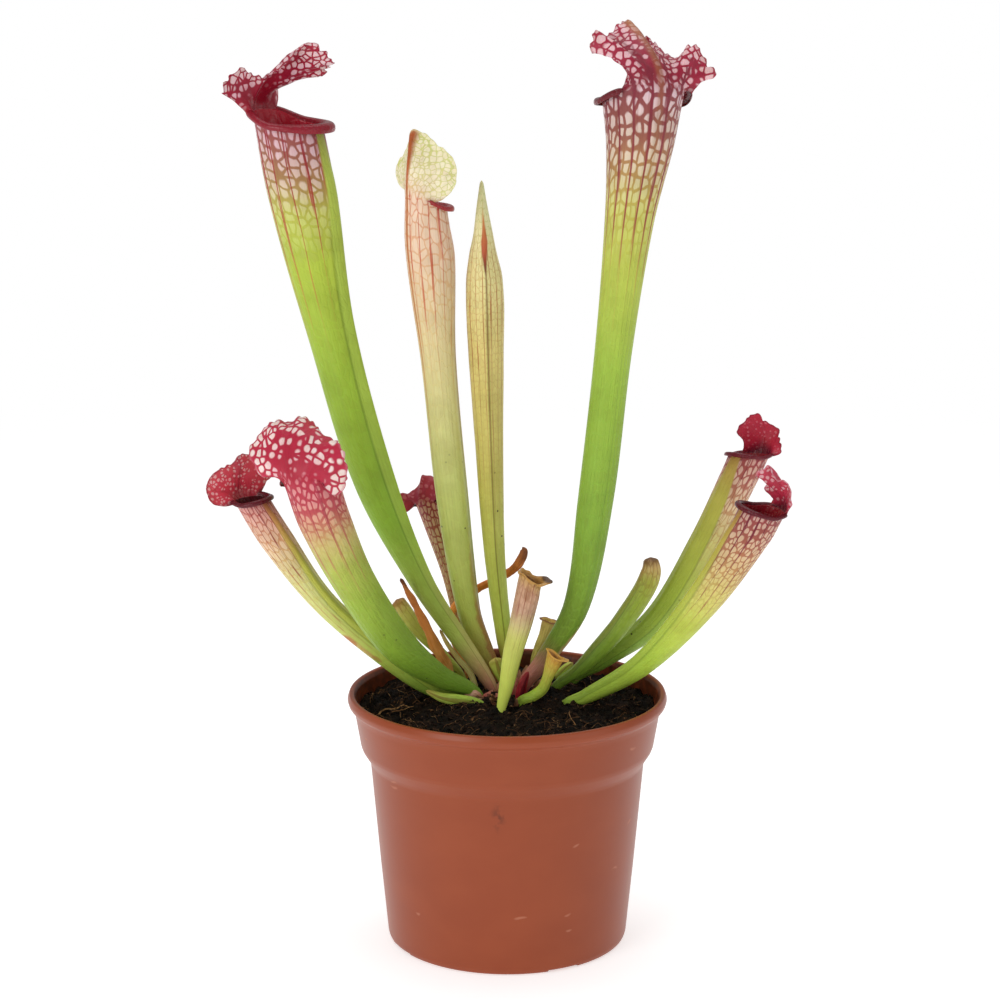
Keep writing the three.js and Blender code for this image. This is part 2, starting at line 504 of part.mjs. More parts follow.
// A pitcher is one thin sheet: tube, rolled lip and lid, with its wall turned in at the edge and
// its hollow closed at the bottom.
function pitcher(spec, detail) {
  const line = smoothRows(spec.stations);
  const angles = columnAngles(spec, detail);
  const places = placesAlong(spec.stations);
  const solidRows = places.filter((t) => t < 1 - spec.hollow).length;
  const beyond = Array.from({ length: detail.beyond }, (_, i) => (i + 1) / detail.beyond);
  const sheet = [
    ...places.map((t) => angles.map((angle) => tubePoint(spec, line, t, angle))),
    ...beyondRim(spec, line, angles, beyond),
  ];
  const normals = sheetNormals(sheet);
  const footMiddle = new THREE.Vector3(...spec.stations[0].slice(0, 3));
  const inwards = normals[0][0].dot(sheet[0][0].clone().sub(footMiddle)) > 0 ? -1 : 1;
  const inside = sheet.slice(solidRows).map((row, i) => row.map((point, j) =>
    point.clone().addScaledVector(normals[i + solidRows][j], inwards * LEAF_WALL)));
  return closedRows([...sheet, ...inside.reverse()]);
}

// A solid leaf: the same oval section with a keel, closed at both ends.
function blade(spec) {
  const line = smoothRows(spec.stations);
  const rows = placesAlong(spec.stations).map((t) => {
    const frame = leafFrame(line, spec.front, t);
    frame.wide *= 1 + spec.waves[1] * Math.sin(TAU * spec.waves[0] * t);
    return Array.from({ length: spec.sides }, (__, j) =>
      skinPoint(frame, (TAU * j) / spec.sides, keelHeight(spec.wing, t), 0));
  });
  return closedRows(rows);
}

// ---------------------------------------------------------------- joining and cutting
function toSolid(geometry) {
  const bare = geometry.clone();
  bare.deleteAttribute('normal');
  bare.deleteAttribute('uv');
  const merged = mergeVertices(bare, 1e-4);
  return new wasm.Manifold(new wasm.Mesh({
    numProp: 3,
    vertProperties: new Float32Array(merged.attributes.position.array),
    triVerts: new Uint32Array(merged.index.array),
  }));
}

function toGeometry(solid) {
  const mesh = solid.getMesh();
  const geometry = new THREE.BufferGeometry();
  geometry.setAttribute('position', new THREE.BufferAttribute(new Float32Array(mesh.vertProperties), 3));
  geometry.setIndex(new THREE.BufferAttribute(new Uint32Array(mesh.triVerts), 1));
  return geometry;
}

// The largest piece of a solid, without the crumbs that cutting can leave.
function mainPiece(solid) {
  return solid.decompose().reduce((best, part) => (part.volume() > best.volume() ? part : best));
}

// ---------------------------------------------------------------- pot
function makePot() {
  const profile = [
    [0, FOOT_LIFT], [40.2, FOOT_LIFT], [41.8, 0], ...POT_OUTSIDE, ...POT_INSIDE, [0, POT_FLOOR],
  ].map(([r, z]) => new THREE.Vector2(r, z));
  const corners = Array.from({ length: FOOT_PAD.sides }, (_, i) => (TAU * i) / FOOT_PAD.sides);
  const outline = new THREE.Shape(corners.map((angle) => (
    new THREE.Vector2(FOOT_PAD.radius * Math.cos(angle), FOOT_PAD.radius * Math.sin(angle))
  )));
  const pad = new THREE.ExtrudeGeometry(outline, { depth: FOOT_PAD.height, bevelEnabled: false });
  let solid = toSolid(new THREE.LatheGeometry(profile, POT_SEGMENTS).rotateX(Math.PI / 2));
  solid = solid.add(toSolid(pad));
  for (let i = 0; i < DRAIN_HOLES; i += 1) {
    const angle = (TAU * (i + 0.5)) / DRAIN_HOLES;
    const hole = new THREE.CylinderGeometry(DRAIN_RADIUS, DRAIN_RADIUS, 4 * POT_FLOOR, DRAIN_SIDES)
      .rotateX(Math.PI / 2)
      .translate(DRAIN_CIRCLE * Math.cos(angle), DRAIN_CIRCLE * Math.sin(angle), FOOT_LIFT);
    solid = solid.subtract(toSolid(hole));
  }
  for (let i = 0; i < FOOT_NOTCHES; i += 1) {
    const notch = new THREE.BoxGeometry(FOOT_NOTCH_REACH, FOOT_NOTCH_WIDTH, 2 * FOOT_NOTCH_HEIGHT)
      .translate(FOOT_NOTCH_RADIUS, 0, 0)
      .rotateZ((TAU * (i + FOOT_NOTCH_TURN)) / FOOT_NOTCHES);
    solid = solid.subtract(toSolid(notch));
  }
  return solid;
}

// ---------------------------------------------------------------- peat
// Height of the peat: a low mound with lumps, from a few crossed waves.
function peatHeight(x, y) {
  const { wide, shift, fine, share } = SOIL_WAVES;
  const fromMound = Math.hypot(x - SOIL_MOUND_AT[0], y - SOIL_MOUND_AT[1]) / SOIL_MOUND_SPREAD;
  const mound = SOIL_MOUND * Math.exp(-(fromMound ** 2));
  const lumps = Math.sin(x * wide[0] + shift[0]) * Math.cos(y * wide[1] + shift[1])
    + share * Math.sin(x * fine[0] + y * fine[1]);
  return SOIL_LEVEL + mound + SOIL_LUMP * lumps;
}

function makePeat() {
  const walls = POT_INSIDE.slice(2).reverse();
  const [edge] = walls[walls.length - 1];
  const ring = (r, height) => Array.from({ length: SOIL_SEGMENTS }, (_, j) => {
    const angle = (TAU * j) / SOIL_SEGMENTS;
    const x = r * Math.cos(angle);
    const y = r * Math.sin(angle);
    return new THREE.Vector3(x, y, height(x, y));
  });
  const sides = walls.map(([r, z], i) => ring(r - PEAT_GAP, () => (i === 0 ? z + SEAT_GAP : z)));
  const top = Array.from({ length: SOIL_RINGS }, (_, i) =>
    ring(((edge - PEAT_GAP) * (SOIL_RINGS - i)) / SOIL_RINGS, peatHeight));
  return toSolid(closedRows([...sides.slice(0, -1), ...top]));
}

// ---------------------------------------------------------------- rootstock
// The rootstock's lumpy body, as rows of points, grown outwards by the given distance.
function rootstockRows(grow) {
  const { middle, half, sides, rings, lumps } = ROOTSTOCK;
  return Array.from({ length: rings - 1 }, (_, i) => {
    const height = -Math.cos((Math.PI * (i + 1)) / rings);
    return Array.from({ length: sides }, (__, j) => {
      const angle = (TAU * j) / sides;
      const lump = 1 + lumps[0] * Math.sin(3 * angle + 5 * height) + lumps[1] * Math.sin(7 * angle - 3 * height);
      const wide = Math.sqrt(1 - height * height);
      return new THREE.Vector3(
        middle[0] + (half[0] * lump + ROOTSTOCK_GROW * grow) * wide * Math.cos(angle),
        middle[1] + (half[1] * lump + ROOTSTOCK_GROW * grow) * wide * Math.sin(angle),
        middle[2] + (half[2] + ROOTSTOCK_GROW * grow) * height);
    });
  });
}

// The dead scales round the crown, each a short blade leaning outwards.
function scaleSpecs(grow) {
  const { middle, half } = ROOTSTOCK;
  const random = randomStream(SCALE_SEED);
  return Array.from({ length: SCALES }, (_, i) => {
    const angle = (TAU * (i + 0.5 * random())) / SCALES;
    const out = [Math.cos(angle), Math.sin(angle)];
    const reach = mix(0.45, 0.72, random());
    const lean = mix(0.5, 1.1, random());
    const length = SCALE_LENGTH * mix(0.7, 1.1, random());
    const station = (share, wide, deep) => [
      middle[0] + out[0] * (half[0] * reach + lean * length * share),
      middle[1] + out[1] * (half[1] * reach + lean * length * share),
      SCALE_FOOT + length * share, wide + grow, deep + grow,
    ];
    return {
      front: out, wing: 0, waves: [0, 0], sides: 6,
      stations: [
        station(-grow / length, SCALE_HALF_WIDTH, SCALE_HALF_DEPTH + 0.5),
        station(0.6, SCALE_HALF_WIDTH, SCALE_HALF_DEPTH),
        station(1 + grow / length, 0.8, 0.6),
      ],
    };
  });
}

function makeRootstock(grow) {
  const scales = scaleSpecs(grow).map((spec) => toSolid(blade(spec)));
  return wasm.Manifold.union([toSolid(closedRows(rootstockRows(grow))), ...scales]);
}

// ---------------------------------------------------------------- assembly
const FINISHES = {
  pot: { color: 0xa15638, roughness: 0.38 },
  soil: { color: 0x2b211c, roughness: 0.95 },
  rootstock: { color: 0x7a4a33, roughness: 0.8 },
};

const plant = new THREE.Group();

function place(name, geometry, finish) {
  const bare = geometry.index ? geometry : mergeVertices(geometry);
  const mesh = new THREE.Mesh(bare, new THREE.MeshStandardMaterial({ metalness: 0, ...finish }));
  mesh.name = name;
  plant.add(mesh);
}

// The plain hole round a leaf's foot: it follows the leaf's own line until the leaf is clear of the peat.
function holeFor(spec) {
  const line = smoothRows(spec.stations);
  const places = placesAlong(spec.stations);
  const clear = places.findIndex((t) => line(t)[2] - line(t)[4] > SOIL_LEVEL + HOLE_ABOVE);
  const rows = places.slice(0, clear + 1).map((t, i) => {
    const frame = leafFrame(line, spec.front, t);
    if (i === 0) frame.middle.addScaledVector(frame.along, -SEAT_GAP);
    return Array.from({ length: HOLE_SIDES }, (__, j) =>
      skinPoint(frame, (TAU * j) / HOLE_SIDES, HOLE_KEEL * keelHeight(spec.wing, t), SEAT_GAP + HOLE_SHARE * frame.deep));
  });
  return toSolid(closedRows(rows));
}

for (const [name, spec] of Object.entries(PITCHERS)) {
  place(name, pitcher(spec, spec.detail), { color: spec.colour, roughness: 0.45 });
}
for (const [name, spec] of Object.entries(BLADES)) {
  place(name, blade(spec), { color: spec.colour, roughness: 0.55 });
}
const holes = [...Object.values(PITCHERS), ...Object.values(BLADES)].map(holeFor);

const roomForLeaves = wasm.Manifold.union(holes);
const rootstock = makeRootstock(0).subtract(roomForLeaves);
const peat = makePeat().subtract(makeRootstock(SEAT_GAP)).subtract(roomForLeaves);
place('rootstock', toGeometry(mainPiece(rootstock)), FINISHES.rootstock);
place('soil', toGeometry(mainPiece(peat)), FINISHES.soil);
place('pot', toGeometry(makePot()), FINISHES.pot);

export default plant;
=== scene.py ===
"""Looks of a potted pitcher plant: hooded tube leaves, dried leaf ends, peat and a plastic nursery pot.

Shapes are worked out in millimetres and put into the meshes in metres. +Z is up, and the origin is
the middle of the pot's foot. The eye looks along +Y, with +X to the right.
"""
from __future__ import annotations

import logging
import math
from dataclasses import dataclass
from enum import Enum
from typing import Any, Optional, Sequence

import bpy
import numpy as np
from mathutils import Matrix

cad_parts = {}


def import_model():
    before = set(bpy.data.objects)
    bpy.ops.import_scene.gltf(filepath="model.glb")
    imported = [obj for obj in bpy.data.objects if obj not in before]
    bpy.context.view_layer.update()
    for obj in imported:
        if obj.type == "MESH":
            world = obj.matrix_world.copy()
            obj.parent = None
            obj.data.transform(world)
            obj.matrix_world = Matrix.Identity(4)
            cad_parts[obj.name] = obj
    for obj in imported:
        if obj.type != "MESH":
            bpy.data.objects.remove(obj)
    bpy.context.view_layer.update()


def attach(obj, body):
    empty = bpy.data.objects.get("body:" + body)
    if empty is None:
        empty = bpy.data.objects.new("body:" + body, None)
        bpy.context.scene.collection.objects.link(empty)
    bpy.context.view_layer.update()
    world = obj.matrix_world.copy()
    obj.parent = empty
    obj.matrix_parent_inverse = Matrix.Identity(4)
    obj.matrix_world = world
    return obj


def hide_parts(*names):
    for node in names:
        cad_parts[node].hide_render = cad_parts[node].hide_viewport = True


log = logging.getLogger("plant")

Array = np.ndarray
Row = tuple[float, ...]
Stops = Sequence[tuple[float, str]]
Levels = Sequence[tuple[float, float]]
Piece = bpy.types.Object
Random = np.random.Generator

MM = 0.001
TAU = 2 * math.pi
BODY = "root"

# Shared with the solids that the pieces stand for.
SOIL_LEVEL = 89.5
KEEL_WIDTH = 0.3
RIM_FROM = 0.75
SHOULDER = 0.24
SHOULDER_TURN = (-0.75, 0.15)
LID_BLEND = 0.22

# The place of the lid's edge on a leaf, whose foot is at 0 and whose rim is at 1.
LEAF_END = 2
GOLDEN_ANGLE = 2.39996


class Slot(str, Enum):
    """Names of material slots."""

    GREEN = "leaf_green"
    PALE = "leaf_pale"
    RED = "leaf_red"
    DRIED = "leaf_dried"
    ROOTSTOCK = "rootstock"
    SOIL = "soil"
    POT = "pot"


# ---- arithmetic
def smooth(low: float, high: float, x: Array) -> Array:
    """A smooth step from 0 at low to 1 at high."""
    t = np.clip((np.asarray(x, float) - low) / (high - low), 0, 1)
    return t * t * (3 - 2 * t)


def mix(a: Any, b: Any, share: Any) -> Any:
    """The value that lies the given share of the way from a to b."""
    return a + (b - a) * share


def unit(v: Array) -> Array:
    """Vectors along the last axis, brought to length 1."""
    return v / np.maximum(np.linalg.norm(v, axis=-1, keepdims=True), 1e-9)


def hermite(a: Array, slope_a: Array, b: Array, slope_b: Array, t: Array) -> Array:
    """The cubic that leaves a with slope_a at t = 0 and reaches b with slope_b at t = 1."""
    return (
        a * (2 * t**3 - 3 * t**2 + 1)
        + slope_a * (t**3 - 2 * t**2 + t)
        + b * (3 * t**2 - 2 * t**3)
        + slope_b * (t**3 - t**2)
    )


def lattice_noise(points: Array, size: float, seed: int) -> Array:
    """Random numbers from -1 to 1 at the corners of a cubic lattice, blended smoothly between them.

    Args:
        points: places, with x, y and z along the last axis.
        size: width of a lattice cell, in the points' own unit.
        seed: picks the stream of numbers.

    Returns:
        One number for each place.
    """
    scaled = points / size
    base = np.floor(scaled).astype(np.int64)
    part = scaled - base
    part = part * part * (3 - 2 * part)
    total = np.zeros(points.shape[:-1])
    for corner in range(8):
        step = np.array([corner & 1, corner >> 1 & 1, corner >> 2 & 1])
        cell = base + step
        code = cell[..., 0] * 73856093 ^ cell[..., 1] * 19349663 ^ cell[..., 2] * 83492791
        code = (code ^ seed * 2654435761) & 0x7FFFFFFF
        code = ((code ^ code >> 13) * 1274126177) & 0x7FFFFFFF
        code = ((code ^ code >> 11) * 461845907) & 0x7FFFFFFF
        weight = np.prod(np.where(step == 1, part, 1 - part), axis=-1)
        total += weight * (code / 0x3FFFFFFF - 1)
    return total


def layered_noise(points: Array, size: float, layers: int, seed: int) -> Array:
    """Lattice noise summed over layers, each half as wide and half as strong as the one before."""
    return sum(lattice_noise(points, size / 2**k, seed + k) / 2**k for k in range(layers))


class SmoothLine:
    """A smooth curve through rows of numbers, spaced by the distance between their first three."""

    def __init__(self, rows: Sequence[Row]) -> None:
        """Works out the slope at each row from its two neighbours.

        Args:
            rows: places, with any other numbers that change along the line.
        """
        self.rows = np.array(rows, float)
        steps = np.linalg.norm(np.diff(self.rows[:, :3], axis=0), axis=1)
        self.at = np.concatenate([[0.0], np.cumsum(steps)])
        self.length = float(self.at[-1])
        places = np.arange(len(self.rows))
        before = np.maximum(places - 1, 0)
        after = np.minimum(places + 1, len(self.rows) - 1)
        spans = (self.at[after] - self.at[before])[:, None]
        self.slope = (self.rows[after] - self.rows[before]) / spans

    def __call__(self, t: Array) -> Array:
        """The row at each share of the line: a cubic between the two rows beside it.

        Args:
            t: shares from 0 to 1.

        Returns:
            One row for each share.
        """
        where = np.asarray(t, float) * self.length
        i = np.clip(np.searchsorted(self.at[1:], where, side="left"), 0, len(self.rows) - 2)
        span = (self.at[i + 1] - self.at[i])[..., None]
        u = (where - self.at[i])[..., None] / span
        return hermite(self.rows[i], self.slope[i] * span, self.rows[i + 1], self.slope[i + 1] * span, u)


@dataclass(frozen=True)
class LeafFrames:
    """A leaf's middle line, its directions and its half sizes at each of its places."""

    middle: Array
    along: Array
    facing: Array
    across: Array
    wide: Array
    deep: Array

    def placed(self, sides: Array, fronts: Array) -> Array:
        """The places that lie so far to the side and to the front of the middle line."""
        moved = self.middle[:, None] + self.across[:, None] * sides[..., None]
        return moved + self.facing[:, None] * fronts[..., None]


def leaf_frames(line: SmoothLine, front: Row, t: Array) -> LeafFrames:
    """The frames of a leaf: along its line, towards its front made square to that, and across both.

    Args:
        line: the leaf's line.
        front: x and y of the way that it faces.
        t: shares of the line.

    Returns:
        One frame for each share.
    """
    step = 0.004
    t = np.atleast_1d(np.asarray(t, float))
    here = line(t)
    before = line(np.maximum(0, t - step))[:, :3]
    after = line(np.minimum(1, t + step))[:, :3]
    along = unit(after - before)
    ahead = np.array([front[0], front[1], 0.0])
    facing = unit(ahead - along * (along @ ahead)[:, None])
    return LeafFrames(here[:, :3], along, facing, np.cross(facing, along), here[:, 3], here[:, 4])


def keel(wing: float, t: Array, angles: Array) -> Array:
    """The keel: a bell round the front that grows from the leaf's foot and fades out under the lip."""
    height = wing * smooth(0.05, 0.3, t) * (1 - smooth(0.9, 1, t))
    return height[:, None] * np.exp(-((wrapped(angles) / KEEL_WIDTH) ** 2))[None]


def wrapped(angle: Array) -> Array:
    """Angles brought between minus half a turn and half a turn."""
    return np.arctan2(np.sin(angle), np.cos(angle))


# ---- meshes
def make_piece(
    name: str,
    points: Array,
    faces: Array,
    uvs: Optional[dict[str, Array]] = None,
    marks: Optional[dict[str, Array]] = None,
    soft: bool = True,
) -> Piece:
    """Makes a mesh object from whole arrays.

    Args:
        name: the piece's name.
        points: places in millimetres, one row each.
        faces: corner numbers, one row of 3 or 4 for each face; a row of 4 whose last is -1 is a triangle.
        uvs: for each UV map, two numbers for each corner of each face.
        marks: for each attribute, a number for each point.
        soft: whether the faces are shaded smoothly.

    Returns:
        The new object, linked to the scene and riding on the plant's body.
    """
    if faces.shape[1] == 3:
        faces = np.concatenate([faces, np.full((len(faces), 1), -1)], axis=1)
    sides = np.where(faces[:, 3] < 0, 3, 4)
    kept = (faces >= 0).ravel()
    corners = faces.ravel()[kept]
    mesh = bpy.data.meshes.new(name)
    mesh.vertices.add(len(points))
    mesh.vertices.foreach_set("co", (points * MM).astype(np.float32).ravel())
    mesh.loops.add(len(corners))
    mesh.loops.foreach_set("vertex_index", corners.astype(np.int32))
    mesh.polygons.add(len(faces))
    starts = np.concatenate([[0], np.cumsum(sides)[:-1]])
    mesh.polygons.foreach_set("loop_start", starts.astype(np.int32))
    mesh.polygons.foreach_set("use_smooth", np.full(len(faces), soft))
    for key, values in (uvs or {}).items():
        layer = mesh.uv_layers.new(name=key)
        layer.data.foreach_set("uv", values.reshape(-1, 2)[kept].astype(np.float32).ravel())
    for key, values in (marks or {}).items():
        attribute = mesh.attributes.new(key, "FLOAT", "POINT")
        attribute.data.foreach_set("value", np.asarray(values, np.float32).ravel())
    mesh.update(calc_edges=True)
    mesh.validate()
    piece = bpy.data.objects.new(name, mesh)
    bpy.context.scene.collection.objects.link(piece)
    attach(piece, BODY)
    return piece


def finish_piece(piece: Piece, material: bpy.types.Material, slot: Slot, *nodes: str) -> None:
    """Dresses a piece and reports it.

    Args:
        piece: the object.
        material: its material.
        slot: its material slot; not used.
        nodes: the nodes that it stands for.
    """
    piece.data.materials.append(material)
    if nodes:
        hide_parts(*nodes)
    log.info("%s: %d faces", piece.name, len(piece.data.polygons))


def turned_outwards(points: Array, faces: Array) -> bool:
    """Whether a closed mesh's faces point out, by the sign of its volume.

    Args:
        points: its places.
        faces: its corners, four to a row, with -1 last for a triangle.

    Returns:
        True when they point out.
    """
    a = points[faces[:, 0]]
    b = points[faces[:, 1]]
    c = points[faces[:, 2]]
    d = points[np.where(faces[:, 3] < 0, faces[:, 2], faces[:, 3])]
    volume = np.einsum("ij,ij->i", a, np.cross(b, c)) + np.einsum("ij,ij->i", a, np.cross(c, d))
    return bool(volume.sum() > 0)


def turned_round(rows: Array, three: Array) -> Array:
    """Rows of face corners in the other order; three marks the triangles, whose last place is spare."""
    turned = rows[:, ::-1].copy()
    turned[three] = rows[three][:, [0, 2, 1, 3]]
    return turned


def spread(across: Array, along: Array) -> Array:
    """A grid that holds both numbers at each place: across changes by column and along by row."""
    return np.stack(np.broadcast_arrays(across[None], along[:, None]), axis=-1)


def bands(count: int, width: int) -> Array:
    """The four corners of each face between neighbouring rings of points.

    Args:
        count: rings.
        width: points in a ring, whose last joins its first.

    Returns:
        One row of corners for each face, ring by ring.
    """
    i, j = np.meshgrid(np.arange(count - 1) * width, np.arange(width), indexing="ij")
    i, j, after = i.ravel(), j.ravel(), (j.ravel() + 1) % width
    return np.stack([i + j, i + after, i + width + after, i + width + j], axis=1)


def closed_tube(
    name: str,
    rows: Array,
    uvs: dict[str, Array],
    marks: Optional[dict[str, Array]] = None,
    soft: bool = True,
) -> Piece:
    """Joins rows of points round and along, and closes both ends by a fan.

    Args:
        name: the piece's name.
        rows: a grid of places, whose last column lies on its first.
        uvs: for each UV map, two numbers at each place of the grid.
        marks: for each attribute, a number at each place of the grid.
        soft: whether the faces are shaded smoothly.

    Returns:
        The new object.
    """
    count, width = rows.shape[0], rows.shape[1] - 1
    quads = bands(count, width)
    i, j = np.divmod(np.arange(len(quads)), width)
    grid_corners = [(i, j), (i, j + 1), (i + 1, j + 1), (i + 1, j)]
    points = rows[:, :-1].reshape(-1, 3)
    columns = np.arange(width)
    following = (columns + 1) % width
    ends = np.array([rows[0, :-1].mean(axis=0), rows[-1, :-1].mean(axis=0)])
    middle, spare = np.full(width, len(points)), np.full(width, -1)
    first = np.stack([middle, following, columns, spare], axis=1)
    base = (count - 1) * width
    last = np.stack([middle + 1, base + columns, base + following, spare], axis=1)
    points = np.concatenate([points, ends])
    faces = np.concatenate([quads, first, last])
    maps = {}
    for key, values in uvs.items():
        quad_uv = np.stack([values[a, b] for a, b in grid_corners], axis=1)
        start = np.stack([values[0, columns], values[0, columns + 1], values[0, columns]], axis=1)
        end = np.stack([values[-1, columns], values[-1, columns], values[-1, columns + 1]], axis=1)
        fans = np.concatenate([start, end])
        fans = np.concatenate([fans, fans[:, :1]], axis=1)
        maps[key] = np.concatenate([quad_uv, fans])
    flags = {}
    for key, values in (marks or {}).items():
        flat = values[:, :-1].reshape(-1)
        flags[key] = np.concatenate([flat, [values[0, 0], values[-1, 0]]])
    if not turned_outwards(points, faces):
        three = faces[:, 3] < 0
        faces = turned_round(faces, three)
        maps = {key: turned_round(values, three) for key, values in maps.items()}
    return make_piece(name, points, faces, maps, flags, soft)


# ---- materials
def numbers(text: str) -> tuple[Row, ...]:
    """Rows of numbers from a text with a comma between one row and the next."""
    return tuple(tuple(float(word) for word in row.split()) for row in text.split(","))


def colours(text: str) -> Stops:
    """Colours by place from a text that gives each place and its colour, with a comma between pairs."""
    pairs = (pair.split() for pair in text.split(","))
    return tuple((float(place), code) for place, code in pairs)


def paint(code: str) -> tuple[float, float, float, float]:
    """A colour as the linear numbers that the nodes take.

    Args:
        code: six hex digits.

    Returns:
        Red, green, blue and 1.
    """
    values = [int(code[k : k + 2], 16) / 255 for k in (0, 2, 4)]
    linear = [v / 12.92 if v <= 0.04045 else ((v + 0.055) / 1.055) ** 2.4 for v in values]
    return (*linear, 1.0)


class Graph:
    """The node tree of one material, with short calls for the nodes that the finishes use."""

    def __init__(self, name: str) -> None:
        """Starts a material that holds only a Principled shader.

        Args:
            name: the material's name.
        """
        self.material = bpy.data.materials.new(name)
        self.material.use_nodes = True
        self.tree = self.material.node_tree
        self.tree.nodes.clear()
        self.shader = self.tree.nodes.new("ShaderNodeBsdfPrincipled")
        output = self.tree.nodes.new("ShaderNodeOutputMaterial")
        self.tree.links.new(self.shader.outputs[0], output.inputs[0])

    def node(self, kind: str, inputs: dict[Any, Any], **settings: Any) -> bpy.types.Node:
        """Adds a node.

        Args:
            kind: the node's type.
            inputs: a value or a socket for each input.
            settings: a value for each option.

        Returns:
            The node.
        """
        made = self.tree.nodes.new(kind)
        for key, value in settings.items():
            setattr(made, key, value)
        for key, value in inputs.items():
            self.put(made.inputs[key], value)
        return made

    def put(self, socket: Any, value: Any) -> None:
        """Links a socket or sets it.

        Args:
            socket: the socket.
            value: another socket, a plain value, or a colour as six hex digits.
        """
        if isinstance(value, bpy.types.NodeSocket):
            self.tree.links.new(value, socket)
        else:
            socket.default_value = paint(value) if isinstance(value, str) else value

    def set(self, name: str, value: Any) -> None:
        """Sets or links one input of the shader."""
        self.put(self.shader.inputs[name], value)

    def math(self, operation: str, a: Any, b: Any = 0.0, c: Any = 0.0) -> Any:
        """One arithmetic step on two or three numbers."""
        return self.node("ShaderNodeMath", {0: a, 1: b, 2: c}, operation=operation).outputs[0]

    def times(self, product: Any, *factors: Any) -> Any:
        """The product of all the numbers."""
        for factor in factors:
            product = self.math("MULTIPLY", product, factor)
        return product

    def plus(self, a: Any, b: Any) -> Any:
        """The sum of two numbers."""
        return self.math("ADD", a, b)

    def rest(self, share: Any) -> Any:
        """What is left of 1 after the share."""
        return self.math("SUBTRACT", 1.0, share)

    def smooth(self, x: Any, low: Any, high: Any) -> Any:
        """A smooth step from 0 at low to 1 at high."""
        inputs = {"Value": x, "From Min": low, "From Max": high}
        return self.node("ShaderNodeMapRange", inputs, interpolation_type="SMOOTHSTEP").outputs[0]

    def blend(self, share: Any, a: Any, b: Any) -> Any:
        """The colour that lies the given share of the way from a to b."""
        return self.node("ShaderNodeMix", {0: share, 6: a, 7: b}, data_type="RGBA").outputs[2]

    def shade(self, share: Any, a: Any, b: Any) -> Any:
        """Colour a multiplied by colour b, by the given share."""
        settings = {"data_type": "RGBA", "blend_type": "MULTIPLY"}
        return self.node("ShaderNodeMix", {0: share, 6: a, 7: b}, **settings).outputs[2]

    def blend_value(self, share: Any, a: Any, b: Any) -> Any:
        """The number that lies the given share of the way from a to b."""
        return self.node("ShaderNodeMix", {0: share, 2: a, 3: b}, data_type="FLOAT").outputs[0]

    def ramp(self, x: Any, stops: Sequence[tuple[float, Any]]) -> Any:
        """A colour or a number that runs through stops from 0 to 2 as x goes from 0 to 1.

        Args:
            x: how far along the leaf the place is, halved.
            stops: the colours or the numbers, by place.

        Returns:
            The colour, which is grey where the stops are numbers.
        """
        made = self.node("ShaderNodeValToRGB", {0: x})
        points = made.color_ramp.elements
        while len(points) < len(stops):
            points.new(0.5)
        for point, (place, value) in zip(points, stops):
            point.position = place / LEAF_END
            point.color = paint(value) if isinstance(value, str) else (value, value, value, 1)
        return made.outputs[0]

    def noise(self, place: Any, scale: float, detail: float = 2.0, dimensions: str = "3D") -> Any:
        """Soft noise from 0 to 1."""
        inputs = {"Vector": place, "Scale": scale, "Detail": detail}
        return self.node("ShaderNodeTexNoise", inputs, noise_dimensions=dimensions).outputs[0]

    def cells(self, place: Any, feature: str, scale: float, loose: float, dimensions: str = "2D") -> Any:
        """The cells of a Voronoi pattern; loose is how far their middles stray."""
        inputs = {"Vector": place, "Scale": scale, "Randomness": loose}
        settings = {"feature": feature, "voronoi_dimensions": dimensions}
        return self.node("ShaderNodeTexVoronoi", inputs, **settings)

    def uv(self, name: str) -> Any:
        """The piece's own UV map of that name."""
        return self.node("ShaderNodeUVMap", {}, uv_map=name).outputs[0]

    def mark(self, name: str) -> Any:
        """The piece's own attribute of that name, as a number."""
        return self.node("ShaderNodeAttribute", {}, attribute_name=name).outputs["Fac"]

    def place(self) -> Any:
        """Object coordinates."""
        return self.node("ShaderNodeTexCoord", {}).outputs["Object"]

    def split(self, vector: Any) -> Any:
        """The x, y and z of a vector."""
        return self.node("ShaderNodeSeparateXYZ", {0: vector}).outputs

    def join(self, x: Any, y: Any, z: Any = 0.0) -> Any:
        """A vector from its x, y and z."""
        return self.node("ShaderNodeCombineXYZ", {0: x, 1: y, 2: z}).outputs[0]

    def stretched(self, vector: Any, scale: Row) -> Any:
        """A vector with its x, y and z scaled."""
        return self.node("ShaderNodeMapping", {"Vector": vector, "Scale": scale}).outputs[0]

    def strayed(self, vector: Any, scale: float, reach: float) -> Any:
        """A vector moved about by noise.

        Args:
            vector: the vector.
            scale: the noise's scale.
            reach: twice the farthest that it moves.

        Returns:
            The moved vector.
        """
        inputs = {"Vector": vector, "Scale": scale, "Detail": 2.0}
        cloud = self.node("ShaderNodeTexNoise", inputs).outputs[1]
        centred = self.node("ShaderNodeVectorMath", {0: cloud, 1: (0.5, 0.5, 0.5)}, operation="SUBTRACT")
        scaled = self.node("ShaderNodeVectorMath", {0: centred.outputs[0], 3: reach}, operation="SCALE")
        moved = self.node("ShaderNodeVectorMath", {0: vector, 1: scaled.outputs[0]}, operation="ADD")
        return moved.outputs[0]

    def bump(self, height: Any, strength: float, distance: float) -> None:
        """Raises the surface by a height from 0 to 1, over a distance in metres."""
        inputs = {"Height": height, "Strength": strength, "Distance": distance}
        self.set("Normal", self.node("ShaderNodeBump", inputs).outputs[0])


